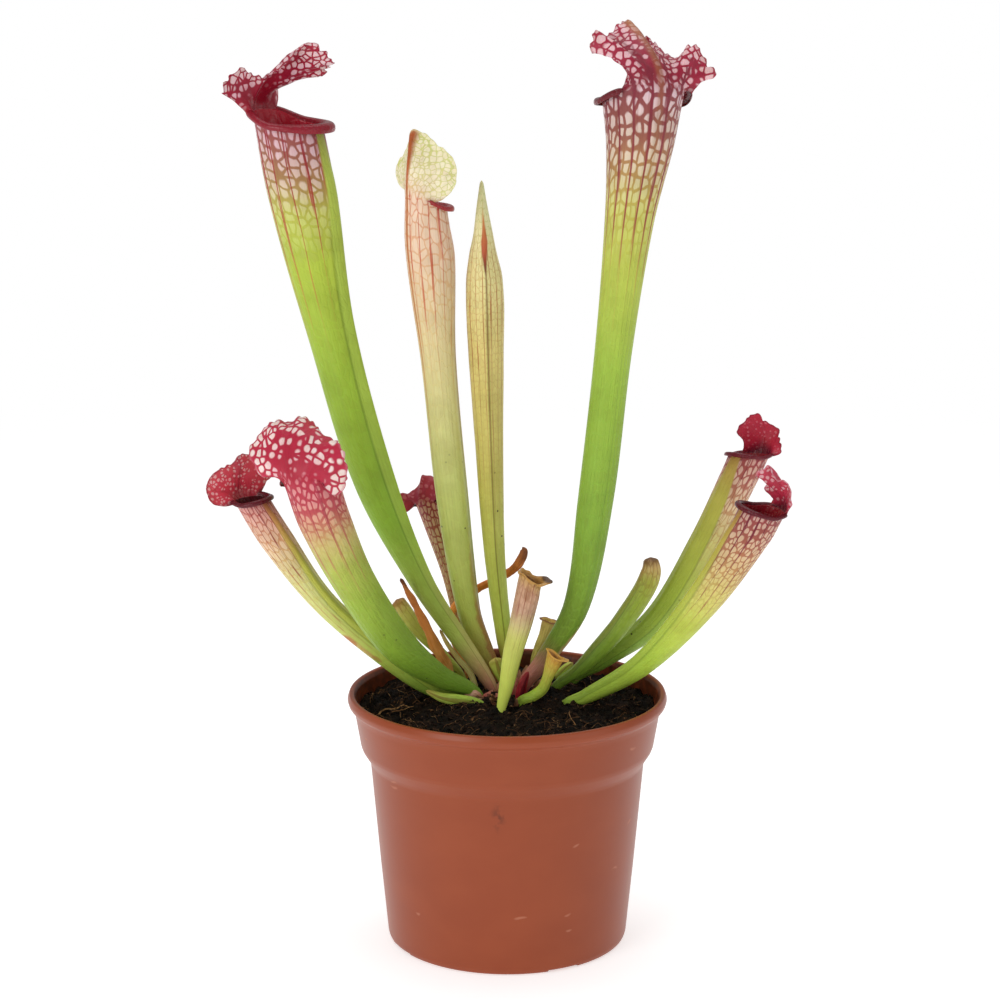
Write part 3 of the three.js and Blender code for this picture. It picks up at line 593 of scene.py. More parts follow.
@dataclass(frozen=True)
class LeafFinish:
    """Living leaf: pale windows between a net of veins, on a ground that runs from foot to lid.

    Places along the leaf go from 0 at its foot to 1 at its rim, and on to 2 at the lid's edge.
    Places round it go from 0 at its back to 0.5 at its keel.

    Attributes:
        name: the material's name.
        slot: its material slot.
        pane: colour of the windows, by place.
        flesh: colour of the tissue between them, by place.
        rib: colour of the long veins, by place.
        ribs: strength of the long veins, by place.
        window: size of the windows, as a share of a cell, by place.
        line: width of the net's lines, as a share of a cell, by place.
        rib_count: long veins round the leaf.
        rib_width: half their width, as a share of their spacing.
        strip: colour of the plain strip beside the keel, by place.
        strip_from: where round the leaf the strip begins, by place.
        spine: colour of the back's middle line, by place.
        spines: strength of that line, by place.
        spot: spacing of the lid's windows, in millimetres.
        lip: colour of the rolled lip.
        throat: colour of the lid's inner side near the mouth.
        throat_to: place at which that colour ends.
        inner: colour of the tube's inside.
        edge: colour of the lid's outermost edge.
        specks: how many dark specks the lower leaf has, from 0 to 1.
        loose: how far the windows' middles stray.
        patches: for each stain its place round and along, its two half sizes, strength and colour.
    """

    name: str
    slot: Slot
    pane: Stops
    flesh: Stops
    rib: Stops
    ribs: Levels
    window: Levels = numbers("0 0.6, 2 0.6")
    line: Levels = numbers("0 0.06, 2 0.06")
    rib_count: int = 10
    rib_width: float = 0.1
    strip: Stops = colours("0 8fae3c, 1 b9c95a")
    strip_from: Levels = numbers("0 0.42, 0.6 0.44, 0.85 0.462, 1 0.472")
    spine: Stops = colours("0 8fae3c, 1 9a5a30")
    spines: Levels = numbers("0 0, 1 0")
    spot: float = 3.2
    lip: str = "7e1622"
    throat: str = "5a1020"
    throat_to: float = 1.5
    inner: str = "7a1424"
    edge: str = "8a1c34"
    specks: float = 0.0
    loose: float = 0.75
    patches: Sequence[tuple[float, float, float, float, float, str]] = ()

    def windows(
        self, g: Graph, net: Any, scale: float, size: Any, line: Any, dimensions: str
    ) -> tuple[Any, Any]:
        """The windows of one net of cells.

        A window is where the place is nearer to its cell's middle than the window's size and
        farther from the cell's edge than the line's width.

        Args:
            g: the material's graph.
            net: the place on the net.
            scale: cells in one unit of it.
            size: the windows' size.
            line: the lines' width.
            dimensions: "2D" or "3D".

        Returns:
            How far the place is in a window, and its cell's own random number.
        """
        middle = g.cells(net, "F1", scale, self.loose, dimensions)
        fate = g.split(middle.outputs["Color"])[0]
        own = g.times(size, g.math("MULTIPLY_ADD", fate, 0.5, 0.75))
        depth = g.math("SUBTRACT", own, middle.outputs["Distance"])
        to_edge = g.cells(net, "DISTANCE_TO_EDGE", scale, self.loose, dimensions).outputs["Distance"]
        clear = g.smooth(to_edge, line, g.plus(line, 0.1))
        return g.times(g.smooth(depth, -0.06, 0.16), clear), fate

    def lined(self, g: Graph, u: Any, t: Any, strength: Any) -> Any:
        """The long veins, at even steps round the leaf; they thin out as they weaken.

        Args:
            g: the material's graph.
            u: place round the leaf.
            t: place along it.
            strength: of the veins.

        Returns:
            How far the place is on a vein.
        """
        sway = g.noise(g.join(g.times(u, 9.0), t), 7.0, 1.0)
        wander = g.math("MULTIPLY_ADD", sway, 0.5, -0.25)
        turn = g.math("FRACT", g.plus(g.times(u, float(self.rib_count)), wander))
        away = g.math("ABSOLUTE", g.math("SUBTRACT", turn, 0.5))
        wide = g.times(strength, self.rib_width)
        rib = g.rest(g.smooth(away, g.times(wide, 0.4), g.times(wide, 1.6)))
        return g.times(rib, g.math("MINIMUM", g.times(strength, 1.5), 1.0))

    def stained(self, g: Graph, u: Any, t: Any, place: Any, colour: Any) -> Any:
        """Lays the stains over the colour, each an oval with a ragged edge.

        Args:
            g: the material's graph.
            u: place round the leaf.
            t: place along it.
            place: object coordinates.
            colour: the colour so far.

        Returns:
            The stained colour.
        """
        ragged = g.noise(place, 260.0, 3.0)
        for middle_u, middle_t, half_u, half_t, strength, code in self.patches:
            across = g.times(g.math("SUBTRACT", u, middle_u), 1 / half_u)
            along = g.times(g.math("SUBTRACT", t, middle_t), 1 / half_t)
            square = g.math("MULTIPLY_ADD", across, across, g.times(along, along))
            away = g.math("MULTIPLY_ADD", ragged, 0.9, g.math("SQRT", square))
            share = g.times(g.rest(g.smooth(away, 1.05, 1.5)), strength)
            colour = g.blend(share, colour, code)
        return colour

    def dress(self) -> bpy.types.Material:
        """Builds the material's nodes.

        The tube's windows lie on its own net and the lid's on cells in space. Over them come the
        long veins, the back's middle line, the plain strip along the keel with a line of painted
        shade along its fold, the mouth, and the lip with a faint painted highlight.

        Returns:
            The material.
        """
        g = Graph(self.name)
        u, t = g.split(g.uv("way"))[:2]
        along = g.times(t, 1 / LEAF_END)
        side = g.math("ABSOLUTE", u)
        lip, lid, inside = g.mark("lip"), g.mark("lid"), g.mark("inside")
        place = g.place()
        size = g.ramp(along, self.window)
        line = g.ramp(along, self.line)
        tube_net = g.strayed(g.uv("net"), 0.8, 0.5)
        on_net, tube_fate = self.windows(g, tube_net, 1.0, size, line, "2D")
        lid_net = g.strayed(place, 140.0, 0.0016)
        in_space, lid_fate = self.windows(g, lid_net, 1000.0 / self.spot, size, line, "3D")
        beyond = g.smooth(t, 1.02, 1.22)
        window = g.blend_value(beyond, on_net, in_space)
        fate = g.blend_value(beyond, tube_fate, lid_fate)
        pane = g.shade(g.times(fate, 0.22), g.ramp(along, self.pane), "d9c3b4")
        colour = g.blend(window, g.ramp(along, self.flesh), pane)
        rib = self.lined(g, u, t, g.ramp(along, self.ribs))
        colour = g.blend(rib, colour, g.ramp(along, self.rib))
        spine = g.rest(g.smooth(side, 0.006, 0.022))
        spine = g.times(spine, g.ramp(along, self.spines))
        colour = g.blend(spine, colour, g.ramp(along, self.spine))
        on_tube = g.rest(lid)
        past = g.math("SUBTRACT", side, g.ramp(along, self.strip_from))
        strip = g.times(g.smooth(past, -0.006, 0.012), on_tube)
        colour = g.blend(strip, colour, g.ramp(along, self.strip))
        # Painted shade: a thin darker olive line where the strip meets the rest of the tube, as if shaded in
        # a fold.
        fold_painted_shade = g.rest(g.smooth(g.math("ABSOLUTE", past), 0.001, 0.016))
        low = g.rest(g.smooth(t, 0.7, 0.92))
        fold_painted_shade = g.times(fold_painted_shade, on_tube, low)
        colour = g.shade(g.times(fold_painted_shade, 0.42), colour, "8a9a5c")
        deep = g.times(inside, on_tube)
        colour = g.blend(g.times(deep, 0.92), colour, self.inner)
        near_mouth = g.rest(g.smooth(t, self.throat_to - 0.3, self.throat_to + 0.1))
        streak = g.noise(g.join(g.times(u, 260.0), g.times(t, 7.0)), 1.0, 1.0)
        throat = g.times(inside, lid, near_mouth)
        fine = g.smooth(streak, 0.64, 0.74)
        throat_colour = g.blend(g.times(fine, 0.4), self.throat, "d07a80")
        colour = g.blend(g.times(throat, 0.92), colour, throat_colour)
        colour = g.blend(g.times(g.mark("margin"), 0.6), colour, self.edge)
        cloud = g.noise(place, 90.0, 3.0)
        # Painted highlight: the lip takes a faint lighter pink in patches of noise, standing in for its
        # glints.
        lip_painted_highlight = g.blend(0.16, self.lip, "b4424c")
        colour = g.blend(lip, colour, g.blend(cloud, self.lip, lip_painted_highlight))
        colour = self.stained(g, u, t, place, colour)
        if self.specks:
            crumbs = g.cells(place, "F1", 420.0, 1.0, "3D")
            chosen = g.math("GREATER_THAN", g.split(crumbs.outputs["Color"])[1], 1 - 0.16 * self.specks)
            dot = g.rest(g.smooth(crumbs.outputs["Distance"], 0.12, 0.22))
            lower = g.rest(g.smooth(t, 0.35, 0.6))
            speck = g.times(dot, chosen, lower)
            colour = g.blend(speck, colour, "3a2a1c")
        grain = g.noise(g.join(g.times(u, 120.0), g.times(t, 6.0)), 1.0, 2.0)
        colour = g.shade(g.times(g.smooth(grain, 0.35, 0.75), 0.2), colour, "b9b98a")
        colour = g.shade(g.times(g.smooth(cloud, 0.4, 0.7), 0.16), colour, "a8a070")
        g.set("Base Color", colour)
        rough = g.math("MULTIPLY_ADD", cloud, 0.16, 0.36)
        glossy = g.math("MAXIMUM", lip, g.math("MAXIMUM", throat, deep))
        g.set("Roughness", g.blend_value(glossy, rough, 0.24))
        g.set("Specular IOR Level", 0.25)
        g.set("Subsurface Weight", 0.12)
        g.set("Subsurface Radius", (1.0, 0.6, 0.3))
        g.set("Subsurface Scale", 0.002)
        height = g.plus(g.times(window, 0.6), g.times(grain, 0.35))
        g.bump(g.plus(height, g.times(rib, 0.5)), 0.45, 0.00035)
        return g.material


@dataclass(frozen=True)
class DriedFinish:
    """Dried leaf: long darker fibres on a ground that runs from foot to tip, and a dead end.

    Attributes:
        name: the material's name.
        base: colour along the leaf, from foot to tip.
        fibre: colour of the darker fibres.
        dark: colour of the dead end.
        dark_from: place along the leaf from which the dead end shows.
        slot: its material slot.
        rib_count: fine ribs round the leaf.
    """

    name: str
    base: Stops
    fibre: str
    dark: str
    dark_from: float = 0.85
    slot: Slot = Slot.DRIED
    rib_count: int = 9

    def dress(self) -> bpy.types.Material:
        """Builds the material's nodes: fibre noise drawn out along the leaf, over a ramp from foot to tip.

        Returns:
            The material.
        """
        g = Graph(self.name)
        u, t = g.split(g.uv("way"))[:2]
        place = g.place()
        fibres = g.noise(g.join(g.times(u, 46.0), g.times(t, 5.0)), 1.0, 4.0)
        ground = g.ramp(g.times(t, 1 / LEAF_END), self.base)
        colour = g.blend(g.smooth(fibres, 0.42, 0.7), ground, self.fibre)
        blotch = g.noise(place, 160.0, 3.0)
        tip = g.smooth(g.math("MULTIPLY_ADD", blotch, 0.22, t), self.dark_from + 0.08, self.dark_from + 0.26)
        colour = g.blend(tip, colour, self.dark)
        colour = g.shade(g.times(g.smooth(blotch, 0.45, 0.72), 0.6), colour, "ccb494")
        g.set("Base Color", colour)
        g.set("Roughness", g.math("MULTIPLY_ADD", fibres, 0.2, 0.58))
        g.set("Specular IOR Level", 0.3)
        g.set("Subsurface Weight", 0.06)
        g.set("Subsurface Scale", 0.001)
        g.bump(g.plus(fibres, g.times(blotch, 0.5)), 0.7, 0.0006)
        return g.material


@dataclass(frozen=True)
class PeatFinish:
    """Peat and what lies on it: a dark tone with browner grains and a share of lighter bits."""

    name: str
    dark: str
    brown: str
    light: str
    light_share: float

    def dress(self) -> bpy.types.Material:
        """Builds the material's nodes: grains of noise pick the dark, the brown or the light tone.

        Returns:
            The material.
        """
        g = Graph(self.name)
        place = g.place()
        coarse = g.noise(place, 260.0, 5.0)
        fine = g.noise(place, 1500.0, 3.0)
        colour = g.blend(g.smooth(coarse, 0.38, 0.68), self.dark, self.brown)
        grains = g.cells(place, "F1", 700.0, 1.0, "3D")
        chosen = g.smooth(g.split(grains.outputs["Color"])[0], 1 - self.light_share, 1.0)
        colour = g.blend(g.times(chosen, 0.7), colour, self.light)
        colour = g.shade(g.smooth(fine, 0.4, 0.7), colour, "8c7a6c")
        g.set("Base Color", colour)
        g.set("Roughness", g.math("MULTIPLY_ADD", fine, 0.25, 0.68))
        g.set("Specular IOR Level", 0.12)
        g.bump(g.plus(coarse, g.times(fine, 0.6)), 0.9, 0.0012)
        return g.material


@dataclass(frozen=True)
class PotFinish:
    """Moulded terracotta-coloured polypropylene, satin, with faint scuffs and smears of peat.

    Attributes:
        name: the material's name.
        base: colour of the plastic.
        worn: its colour along the flow lines.
        soil: colour of the peat on it, also used for the painted shade on the inner wall.
        smear_at: x and z of the smear on the front, in metres.
        wall_lean: how much wider the pot is for each metre of height.
        wall: radius, less that lean, within which the inner wall lies, and past which it ends.
        wall_from: height from which the inner wall is darkened, partly as clinging peat and partly as painted
            shade.
    """

    name: str
    base: str
    worn: str
    soil: str
    smear_at: Row = (-0.0035, 0.0635)
    wall_lean: float = 0.169
    wall: Row = (0.0414, 0.042)
    wall_from: float = 0.0766

    def dress(self) -> bpy.types.Material:
        """Builds the material's nodes.

        Flow lines are noise drawn out round the pot, scuffs are thin stretched cells, a smear lies
        on the front, and the inner wall is darkened, partly as clinging peat and partly as painted
        shade.

        Returns:
            The material.
        """
        g = Graph(self.name)
        place = g.place()
        x, y, z = g.split(place)
        round_way = g.math("ARCTAN2", y, x)
        wide = g.join(g.times(round_way, 0.05), z, 0.0)
        flow = g.noise(g.join(g.times(round_way, 0.7), g.times(z, 22.0)), 3.0, 3.0)
        colour = g.blend(g.smooth(flow, 0.3, 0.75), self.base, self.worn)
        scuffs = g.cells(g.stretched(g.strayed(wide, 60.0, 0.01), (1.0, 3.5, 1.0)), "F1", 95.0, 1.0)
        chosen = g.math("GREATER_THAN", g.split(scuffs.outputs["Color"])[0], 0.955)
        scuff = g.rest(g.smooth(scuffs.outputs["Distance"], 0.04, 0.2))
        scuff = g.times(scuff, chosen, 0.35)
        colour = g.blend(scuff, colour, "c98a70")
        dust = g.noise(place, 300.0, 4.0)
        smear_x = g.math("ABSOLUTE", g.plus(x, -self.smear_at[0]))
        smear_z = g.math("ABSOLUTE", g.math("SUBTRACT", z, self.smear_at[1]))
        near = g.plus(g.times(smear_x, 1.6), smear_z)
        front = g.math("LESS_THAN", y, 0.0)
        smear = g.times(g.rest(g.smooth(near, 0.001, 0.008)), front)
        smear = g.times(smear, g.smooth(dust, 0.42, 0.62))
        colour = g.blend(g.times(smear, 0.5), colour, self.soil)
        # The inner wall above the peat is darkened: partly peat clinging to it, partly painted shade in the
        # pot's hollow.
        radius = g.math("SQRT", g.plus(g.times(x, x), g.times(y, y)))
        within = g.rest(g.smooth(g.math("MULTIPLY_ADD", z, -self.wall_lean, radius), *self.wall))
        inner_wall = g.times(within, g.math("GREATER_THAN", z, self.wall_from))
        dirt_and_painted_shade = g.times(inner_wall, g.math("MULTIPLY_ADD", g.smooth(dust, 0.35, 0.6), 0.3, 0.45))
        colour = g.blend(dirt_and_painted_shade, colour, self.soil)
        g.set("Base Color", colour)
        g.set("Roughness", g.plus(g.math("MULTIPLY_ADD", flow, 0.06, 0.33), g.times(scuff, 0.4)))
        g.set("Specular IOR Level", 0.3)
        g.set("Subsurface Weight", 0.03)
        g.set("Subsurface Scale", 0.001)
        g.bump(g.plus(flow, g.times(dust, 0.25)), 0.08, 0.0002)
        return g.material


Finish = LeafFinish | DriedFinish


# ---- leaves
@dataclass
class Pitcher:
    """An open pitcher leaf: one thin sheet of tube, rolled lip and lid.

    Attributes:
        name: the piece and the node that it stands for.
        front: the way the mouth faces.
        wing: height of the keel down the front of the tube.
        dip: how far the rim drops at its front and at its across side.
        lip: radius of the rolled lip at the sides and at the front.
        stations: x, y, z, half width and half depth along the tube.
        hood: the lid's edge, as offsets from the middle of the mouth, in order round it.
        apex: place in that list of the lid's tip.
        column: half angle of the rim that the lid grows from, in degrees.
        bend: how far the lid rises before it bends, and the way it runs out.
        ruffle: number of waves and height of the lid's edge.
        hollow: share of the tube, from the mouth down, that is hollow.
        finish: the leaf's material.
        frill: number of fine waves round the lid's edge, their height, and the depth of its scallops.
        cell: width and height of a window at the rim.
        fan: how far the windows spread out with the lid, from 0 to 1.
        turn: how far the lip rolls over, in degrees.
        columns: columns of points round the front and under the lid.
        brim: torn height of a dried brim.
        seed: starts the lid's noise.
    """

    name: str
    front: Row
    wing: float
    dip: Row
    lip: Row
    stations: Sequence[Row]
    hood: Sequence[Row]
    hollow: float
    finish: Finish
    apex: int = 0
    column: float = 0.0
    bend: Row = (1.1, 0.7, 0.2)
    ruffle: Row = (5, 0.7)
    frill: Row = (13, 0.35, 0.4)
    cell: Row = (4.3, 5.2)
    fan: float = 0.4
    turn: float = 215.0
    columns: tuple[int, int] = (52, 120)
    brim: float = 0.0
    seed: int = 3

    RIB = 0.09
    LID_ROWS = 44
    TUBE_ROWS = 60
    RIM_STEPS = (8.0, 5.5, 3.8, 2.6, 1.7, 1.0, 0.5)
    WALL = 0.6
    LID_WALL = 0.42
    EDGE_WALL = 0.26

    def __post_init__(self) -> None:
        """Works out the line, the columns' angles and the rows' places."""
        self.line = SmoothLine(self.stations)
        self.free = math.pi - math.radians(self.column) if self.hood else math.pi
        front, under = self.columns
        if self.hood:
            half = np.linspace(0, self.free, front // 2 + 1)
            lid = np.linspace(self.free, TAU - self.free, under + 1)
            self.angles = np.concatenate([half[:-1], lid, TAU - half[::-1][1:]])
        else:
            self.angles = np.linspace(0, TAU, front + under + 1)
        length = self.line.length
        low = np.linspace(0, 1 - self.RIM_STEPS[0] / length, self.TUBE_ROWS)[:-1]
        self.places = np.concatenate([low, 1 - np.array(self.RIM_STEPS) / length, [1.0]])
        self.beyond = np.arange(1, self.LID_ROWS + 1) / self.LID_ROWS

    def tube(self, t: Array, angles: Array) -> Array:
        """The tube's grid of points.

        The section is an oval with a keel out of its front. Towards the rim the front drops by the
        dip, and the rim sweeps up where the lid begins. Fine ribs stand along the long veins.

        Args:
            t: shares of the tube's length.
            angles: angles round it, from the front.

        Returns:
            A grid of places.
        """
        f = leaf_frames(self.line, self.front, t)
        shown = smooth(0.1, 0.5, t) * (1 - smooth(0.93, 1, t))
        rib = self.RIB * np.cos(angles * self.finish.rib_count) ** 6 * shown[:, None]
        sides = np.sin(angles)[None] * (f.wide[:, None] + rib)
        fronts = np.cos(angles)[None] * (f.deep[:, None] + keel(self.wing, t, angles) + rib)
        points = f.placed(sides, fronts)
        away = np.abs(wrapped(angles))
        sweep = SHOULDER * smooth(*SHOULDER_TURN, away - self.free) if self.hood else np.zeros_like(angles)
        drop = self.dip[0] * np.cos(angles) + self.dip[1] * np.sin(angles)
        rise = (f.wide[:, None] * sweep[None] - drop[None]) * smooth(RIM_FROM, 1, t)[:, None]
        return points + f.along[:, None] * rise[..., None]

    def rolled(self, rim: Array, angles: Array, s: Array) -> Array:
        """The rolled lip: an arc of a circle that leaves the rim upwards and turns outwards and down.

        Args:
            rim: the rim's points.
            angles: angles round it, from the front.
            s: shares of the roll.

        Returns:
            A grid of places.
        """
        f = leaf_frames(self.line, self.front, 1.0)
        radius = mix(self.lip[0], self.lip[1], np.maximum(0, np.cos(angles)) ** 2)
        turned = s[:, None] * math.radians(self.turn)
        out = f.across * np.sin(angles)[:, None] + f.facing * np.cos(angles)[:, None]
        outwards = (radius[None] * (1 - np.cos(turned)))[..., None] * out[None]
        upwards = (radius[None] * np.sin(turned))[..., None] * f.along[None]
        return rim[None] + outwards + upwards

    def lid(self, rim: Array) -> tuple[Array, Array, Array]:
        """The sheet beyond the rim: rolled lip round the front, lid at the back.

        Each column of the lid is a cubic from the rim to its own point of the lid's edge. Waves
        that grow towards the edge ruffle it, finer ones frill it, and its outline is scalloped.

        Args:
            rim: the rim's points.

        Returns:
            The grid of places, the share of each column that belongs to the lid, and each
            column's length.
        """
        angles, s = self.angles, self.beyond
        roll = self.rolled(rim, angles, s)
        if not self.hood:
            torn = self.brim * layered_noise(rim * [1, 1, 0.2], 2.6, 2, self.seed)
            f = leaf_frames(self.line, self.front, 1.0)
            roll = roll + (smooth(0.3, 1, s)[:, None] * torn[None])[..., None] * f.along[None]
            return roll, np.zeros(len(angles)), np.full(len(angles), self.lip[1] * 2)
        f = leaf_frames(self.line, self.front, 1.0)
        column = math.radians(self.column)
        ends = np.array([self.free, TAU - self.free])
        corners = self.rolled(self.tube(np.array([1.0]), ends)[0], ends, np.array([1.0]))[0]
        edge = [corners[0], *(f.middle[0] + np.array(p) for p in self.hood), corners[1]]
        outline = SmoothLine([tuple(p) for p in edge])
        tip = outline.at[self.apex] / outline.length
        q = (math.pi - angles) / column
        share = np.where(q > 0, tip * (1 - q), mix(tip, 1, -q))
        target = outline(np.clip(share, 0, 1))
        back = self.tube(np.array([1.0]), np.array([math.pi]))[0, 0]
        reach = np.linalg.norm(rim - target, axis=1)
        out = unit((target - back) * [1, 1, 0])
        start = f.along * (reach * self.bend[0])[:, None]
        end = (out * self.bend[1] + np.array([0, 0, self.bend[2]])) * reach[:, None]
        point = hermite(rim[None], start[None], target[None], end[None], s[:, None, None])
        inner = np.clip(1 - np.abs(q), 0, 1)
        calm = smooth(0, 0.25, inner)
        away = unit(target - rim)
        lift = unit(np.cross(away, np.cross(out, [0, 0, 1.0])))
        count, height = self.ruffle
        wave = height * s[:, None] ** 2.5 * (calm * np.sin(q * math.pi * count))[None]
        waves, tall, deep = self.frill
        wander = 0.9 * np.sin(q * math.pi * 2.3 + self.seed)
        fine = np.sin(q * math.pi * waves + wander) * (0.7 + 0.3 * np.sin(q * 17 + self.seed))
        wave = wave + tall * s[:, None] ** 4 * (calm * fine)[None]
        cloud = layered_noise(point + [self.seed * 40.0, 0, 0], 8.0, 3, self.seed)
        wave = wave + 0.55 * cloud * smooth(0.15, 0.7, s)[:, None] * calm[None]
        scallop = np.abs(np.sin(q * math.pi * waves * 0.85 + 1.3 * wander)) ** 0.8 - 0.5
        scallop = scallop + 0.45 * np.sin(q * math.pi * waves * 2.1)
        shift = deep * s[:, None] ** 5 * (calm * scallop)[None]
        point = point + wave[..., None] * lift[None] + shift[..., None] * away[None]
        part = smooth(0, LID_BLEND, inner)
        return mix(roll, point, part[None, :, None]), part, reach

    def build(self) -> Piece:
        """Makes the leaf as one closed sheet, with its wall turned in at the edge.

        The inner side is the outer one moved inwards along its own normals, by a wall that thins
        towards the lid's edge. The map "way" holds the place round and along the leaf, and "net"
        the same as a number of window cells.

        Returns:
            The new object.
        """
        tube = self.tube(self.places, self.angles)
        lid, part, reach = self.lid(tube[-1])
        sheet = np.concatenate([tube, lid])
        sheet[:, -1] = sheet[:, 0]
        t = np.concatenate([self.places, 1 + self.beyond])
        rounds = np.roll(sheet[:, :-1], -1, axis=1) - np.roll(sheet[:, :-1], 1, axis=1)
        rounds = np.concatenate([rounds, rounds[:, :1]], axis=1)
        steps = np.gradient(sheet, axis=0)
        normals = unit(np.cross(rounds, steps))
        if np.sum(normals[0, 0] * (sheet[0, 0] - self.line(0.0)[:3])) > 0:
            normals = -normals
        wall = np.where(t <= 1, self.WALL, mix(self.LID_WALL, self.EDGE_WALL, smooth(1.6, 2, t)))
        wall = np.minimum(wall, mix(self.WALL, self.LID_WALL, smooth(0.97, 1.1, t)))
        start = int(np.sum(t < 1 - self.hollow))
        inside = sheet + normals * wall[:, None, None]
        edge = mix(sheet[-1], inside[-1], 0.5) + unit(sheet[-1] - sheet[-2]) * self.EDGE_WALL * 0.5
        rows = np.concatenate([sheet, edge[None], inside[start:][::-1]])
        u = (self.angles - math.pi) / TAU
        way = spread(u, t)
        arcs = np.linalg.norm(np.diff(sheet, axis=1), axis=-1)
        arcs = np.concatenate([np.zeros((len(t), 1)), np.cumsum(arcs, axis=1)], axis=1)
        middle = np.argmin(np.abs(self.angles - math.pi))
        arcs = arcs - arcs[:, middle : middle + 1]
        rim_row = len(self.places) - 1
        around = arcs[rim_row, -1] - arcs[rim_row, 0]
        cells = max(8, round(around / self.cell[0]))
        even = (u * cells)[None]
        fanned = mix(arcs / (around / cells), even, self.fan)
        beyond = (t > 1)[:, None]
        across = np.where(beyond, mix(even, fanned, smooth(1.0, 1.25, t)[:, None]), even)
        lengths = np.linalg.norm(np.diff(sheet, axis=0), axis=-1)
        lengths = np.concatenate([np.zeros((1, sheet.shape[1])), np.cumsum(lengths, axis=0)])
        lengths = lengths - lengths[rim_row]
        net = np.stack([across, lengths / self.cell[1]], axis=-1)
        lid_mark = np.where(beyond, part[None], 0.0)
        lip_mark = np.where(beyond, 1 - part[None], 0.0)
        near_edge = 1 - (2 - t)[:, None] * reach[None]
        margin = np.clip(near_edge / 0.7, 0, 1) * lid_mark
        marks = {"lid": lid_mark, "lip": lip_mark, "margin": margin, "inside": np.zeros_like(lid_mark)}
        uvs = {}
        for key, values in {"way": way, "net": net}.items():
            uvs[key] = np.concatenate([values, values[-1:], values[start:][::-1]])
        grids = {}
        for key, values in marks.items():
            inner = np.ones_like(values) if key == "inside" else values
            grids[key] = np.concatenate([values, inner[-1:], inner[start:][::-1]])
        return closed_tube(self.name, rows, uvs, grids)

    def place(self) -> None:
        """Builds the leaf and dresses it."""
        finish_piece(self.build(), self.finish.dress(), self.finish.slot, self.name)


@dataclass
class Blade:
    """A solid leaf, stub or stalk: an oval section with a keel, rounded and closed at both ends.

    Attributes:
        name: the piece, and the node that it stands for where it has one.
        front: the way its keel faces.
        wing: height of the keel.
        waves: number of waves of its width and their share of it.
        stations: x, y, z, half width and half depth along it.
        finish: its material.
        crumple: height of the uneven dents in its skin.
        crumple_size: width of those dents.
        cell: width and height of a cell of its net.
        sides: points round it.
        rows: points along it.
    """

    name: str
    front: Row
    wing: float
    waves: Row
    stations: Sequence[Row]
    finish: Finish
    crumple: float = 0.08
    crumple_size: float = 5.0
    cell: Row = (2.0, 4.0)
    sides: int = 56
    rows: int = 110

    BLUNT_END = 1.6
    END_SHARE = 0.02
    DENT_SEED = 11

    def build(self) -> Piece:
        """Makes the blade: an oval with a keel carried along its line, dented by noise, with rounded ends.

        Returns:
            The new object.
        """
        line = SmoothLine(self.stations)
        t = (1 - np.cos(np.linspace(0, math.pi, self.rows))) / 2
        t = mix(np.linspace(0, 1, self.rows), t, 0.5)
        angles = np.linspace(0, TAU, self.sides + 1)
        f = leaf_frames(line, self.front, t)
        wide = f.wide * (1 + self.waves[1] * np.sin(TAU * self.waves[0] * t))
        end = smooth(1 - self.BLUNT_END / line.length, 1, t)
        blunt = np.sqrt(np.clip(1 - end**2, self.END_SHARE, 1))
        sides = np.sin(angles)[None] * (wide * blunt)[:, None]
        deep = (f.deep * blunt)[:, None] + keel(self.wing, t, angles) * blunt[:, None]
        fronts = np.cos(angles)[None] * deep
        rows = f.placed(sides, fronts)
        out = unit(rows - f.middle[:, None])
        dents = self.crumple * layered_noise(rows * [1, 1, 0.5], self.crumple_size, 3, self.DENT_SEED)
        rows = rows + out * dents[..., None]
        rows[:, -1] = rows[:, 0]
        u = (angles - math.pi) / TAU
        way = spread(u, t)
        around = TAU * float(np.max(wide))
        cells = max(6, round(around / self.cell[0]))
        net = spread(u * cells, t * line.length / self.cell[1])
        zeros = np.zeros(rows.shape[:2])
        marks = {key: zeros for key in ("lid", "lip", "margin", "inside")}
        return closed_tube(self.name, rows, {"way": way, "net": net}, marks)

    def place(self) -> None:
        """Builds the blade and dresses it."""
        finish_piece(self.build(), self.finish.dress(), self.finish.slot, self.name)


# ---- finishes of the leaves
TALL_LEFT = LeafFinish(
    "tall_left_skin",
    Slot.GREEN,
    pane=colours(
        "0 b06c5c, 0.045 ba8068, 0.09 bca86a, 0.14 b4c45a, 0.35 92ba36, 0.6 9cba38, 0.78 b2c644, "
        "0.86 cace74, 0.91 d8c0aa, 0.97 d8b2ba, 1.15 b04458, 1.5 e0acba, 2 eed0d8"
    ),
    flesh=colours(
        "0 b06c5c, 0.045 ba8068, 0.09 bca86a, 0.14 b4c45a, 0.35 90b834, 0.6 99b836, 0.78 b0c442, "
        "0.86 b4b44c, 0.905 a8884e, 0.95 9c6450, 1 94444a, 1.15 7e1428, 1.5 961832, 2 a0203c"
    ),
    window=numbers("0 0.7, 0.86 0.64, 0.92 0.58, 1 0.56, 1.15 0.26, 1.4 0.42, 1.8 0.64, 2 0.68"),
    line=numbers("0 0.05, 0.86 0.06, 1 0.07, 1.4 0.08, 2 0.04"),
    rib=colours("0 8a9a3a, 0.6 a8a040, 0.72 bf7038, 0.88 a8402f, 1 8e2a38, 2 8a1a34"),
    ribs=numbers("0 0, 0.6 0, 0.72 0.35, 0.86 0.6, 1 0.75, 1.2 0.3, 2 0.2"),
    rib_count=12,
    strip=colours("0 c88c7c, 0.1 bcb468, 0.3 a4c248, 0.7 a6bf48, 0.92 b6c856, 1 9a9a40"),
    strip_from=numbers("0 0.4, 0.5 0.41, 0.8 0.435, 1 0.462"),
    spot=2.7,
    throat="98182e",
    throat_to=1.5,
    edge="8e1c38",
    inner="c01632",
    lip="861a2a",
)
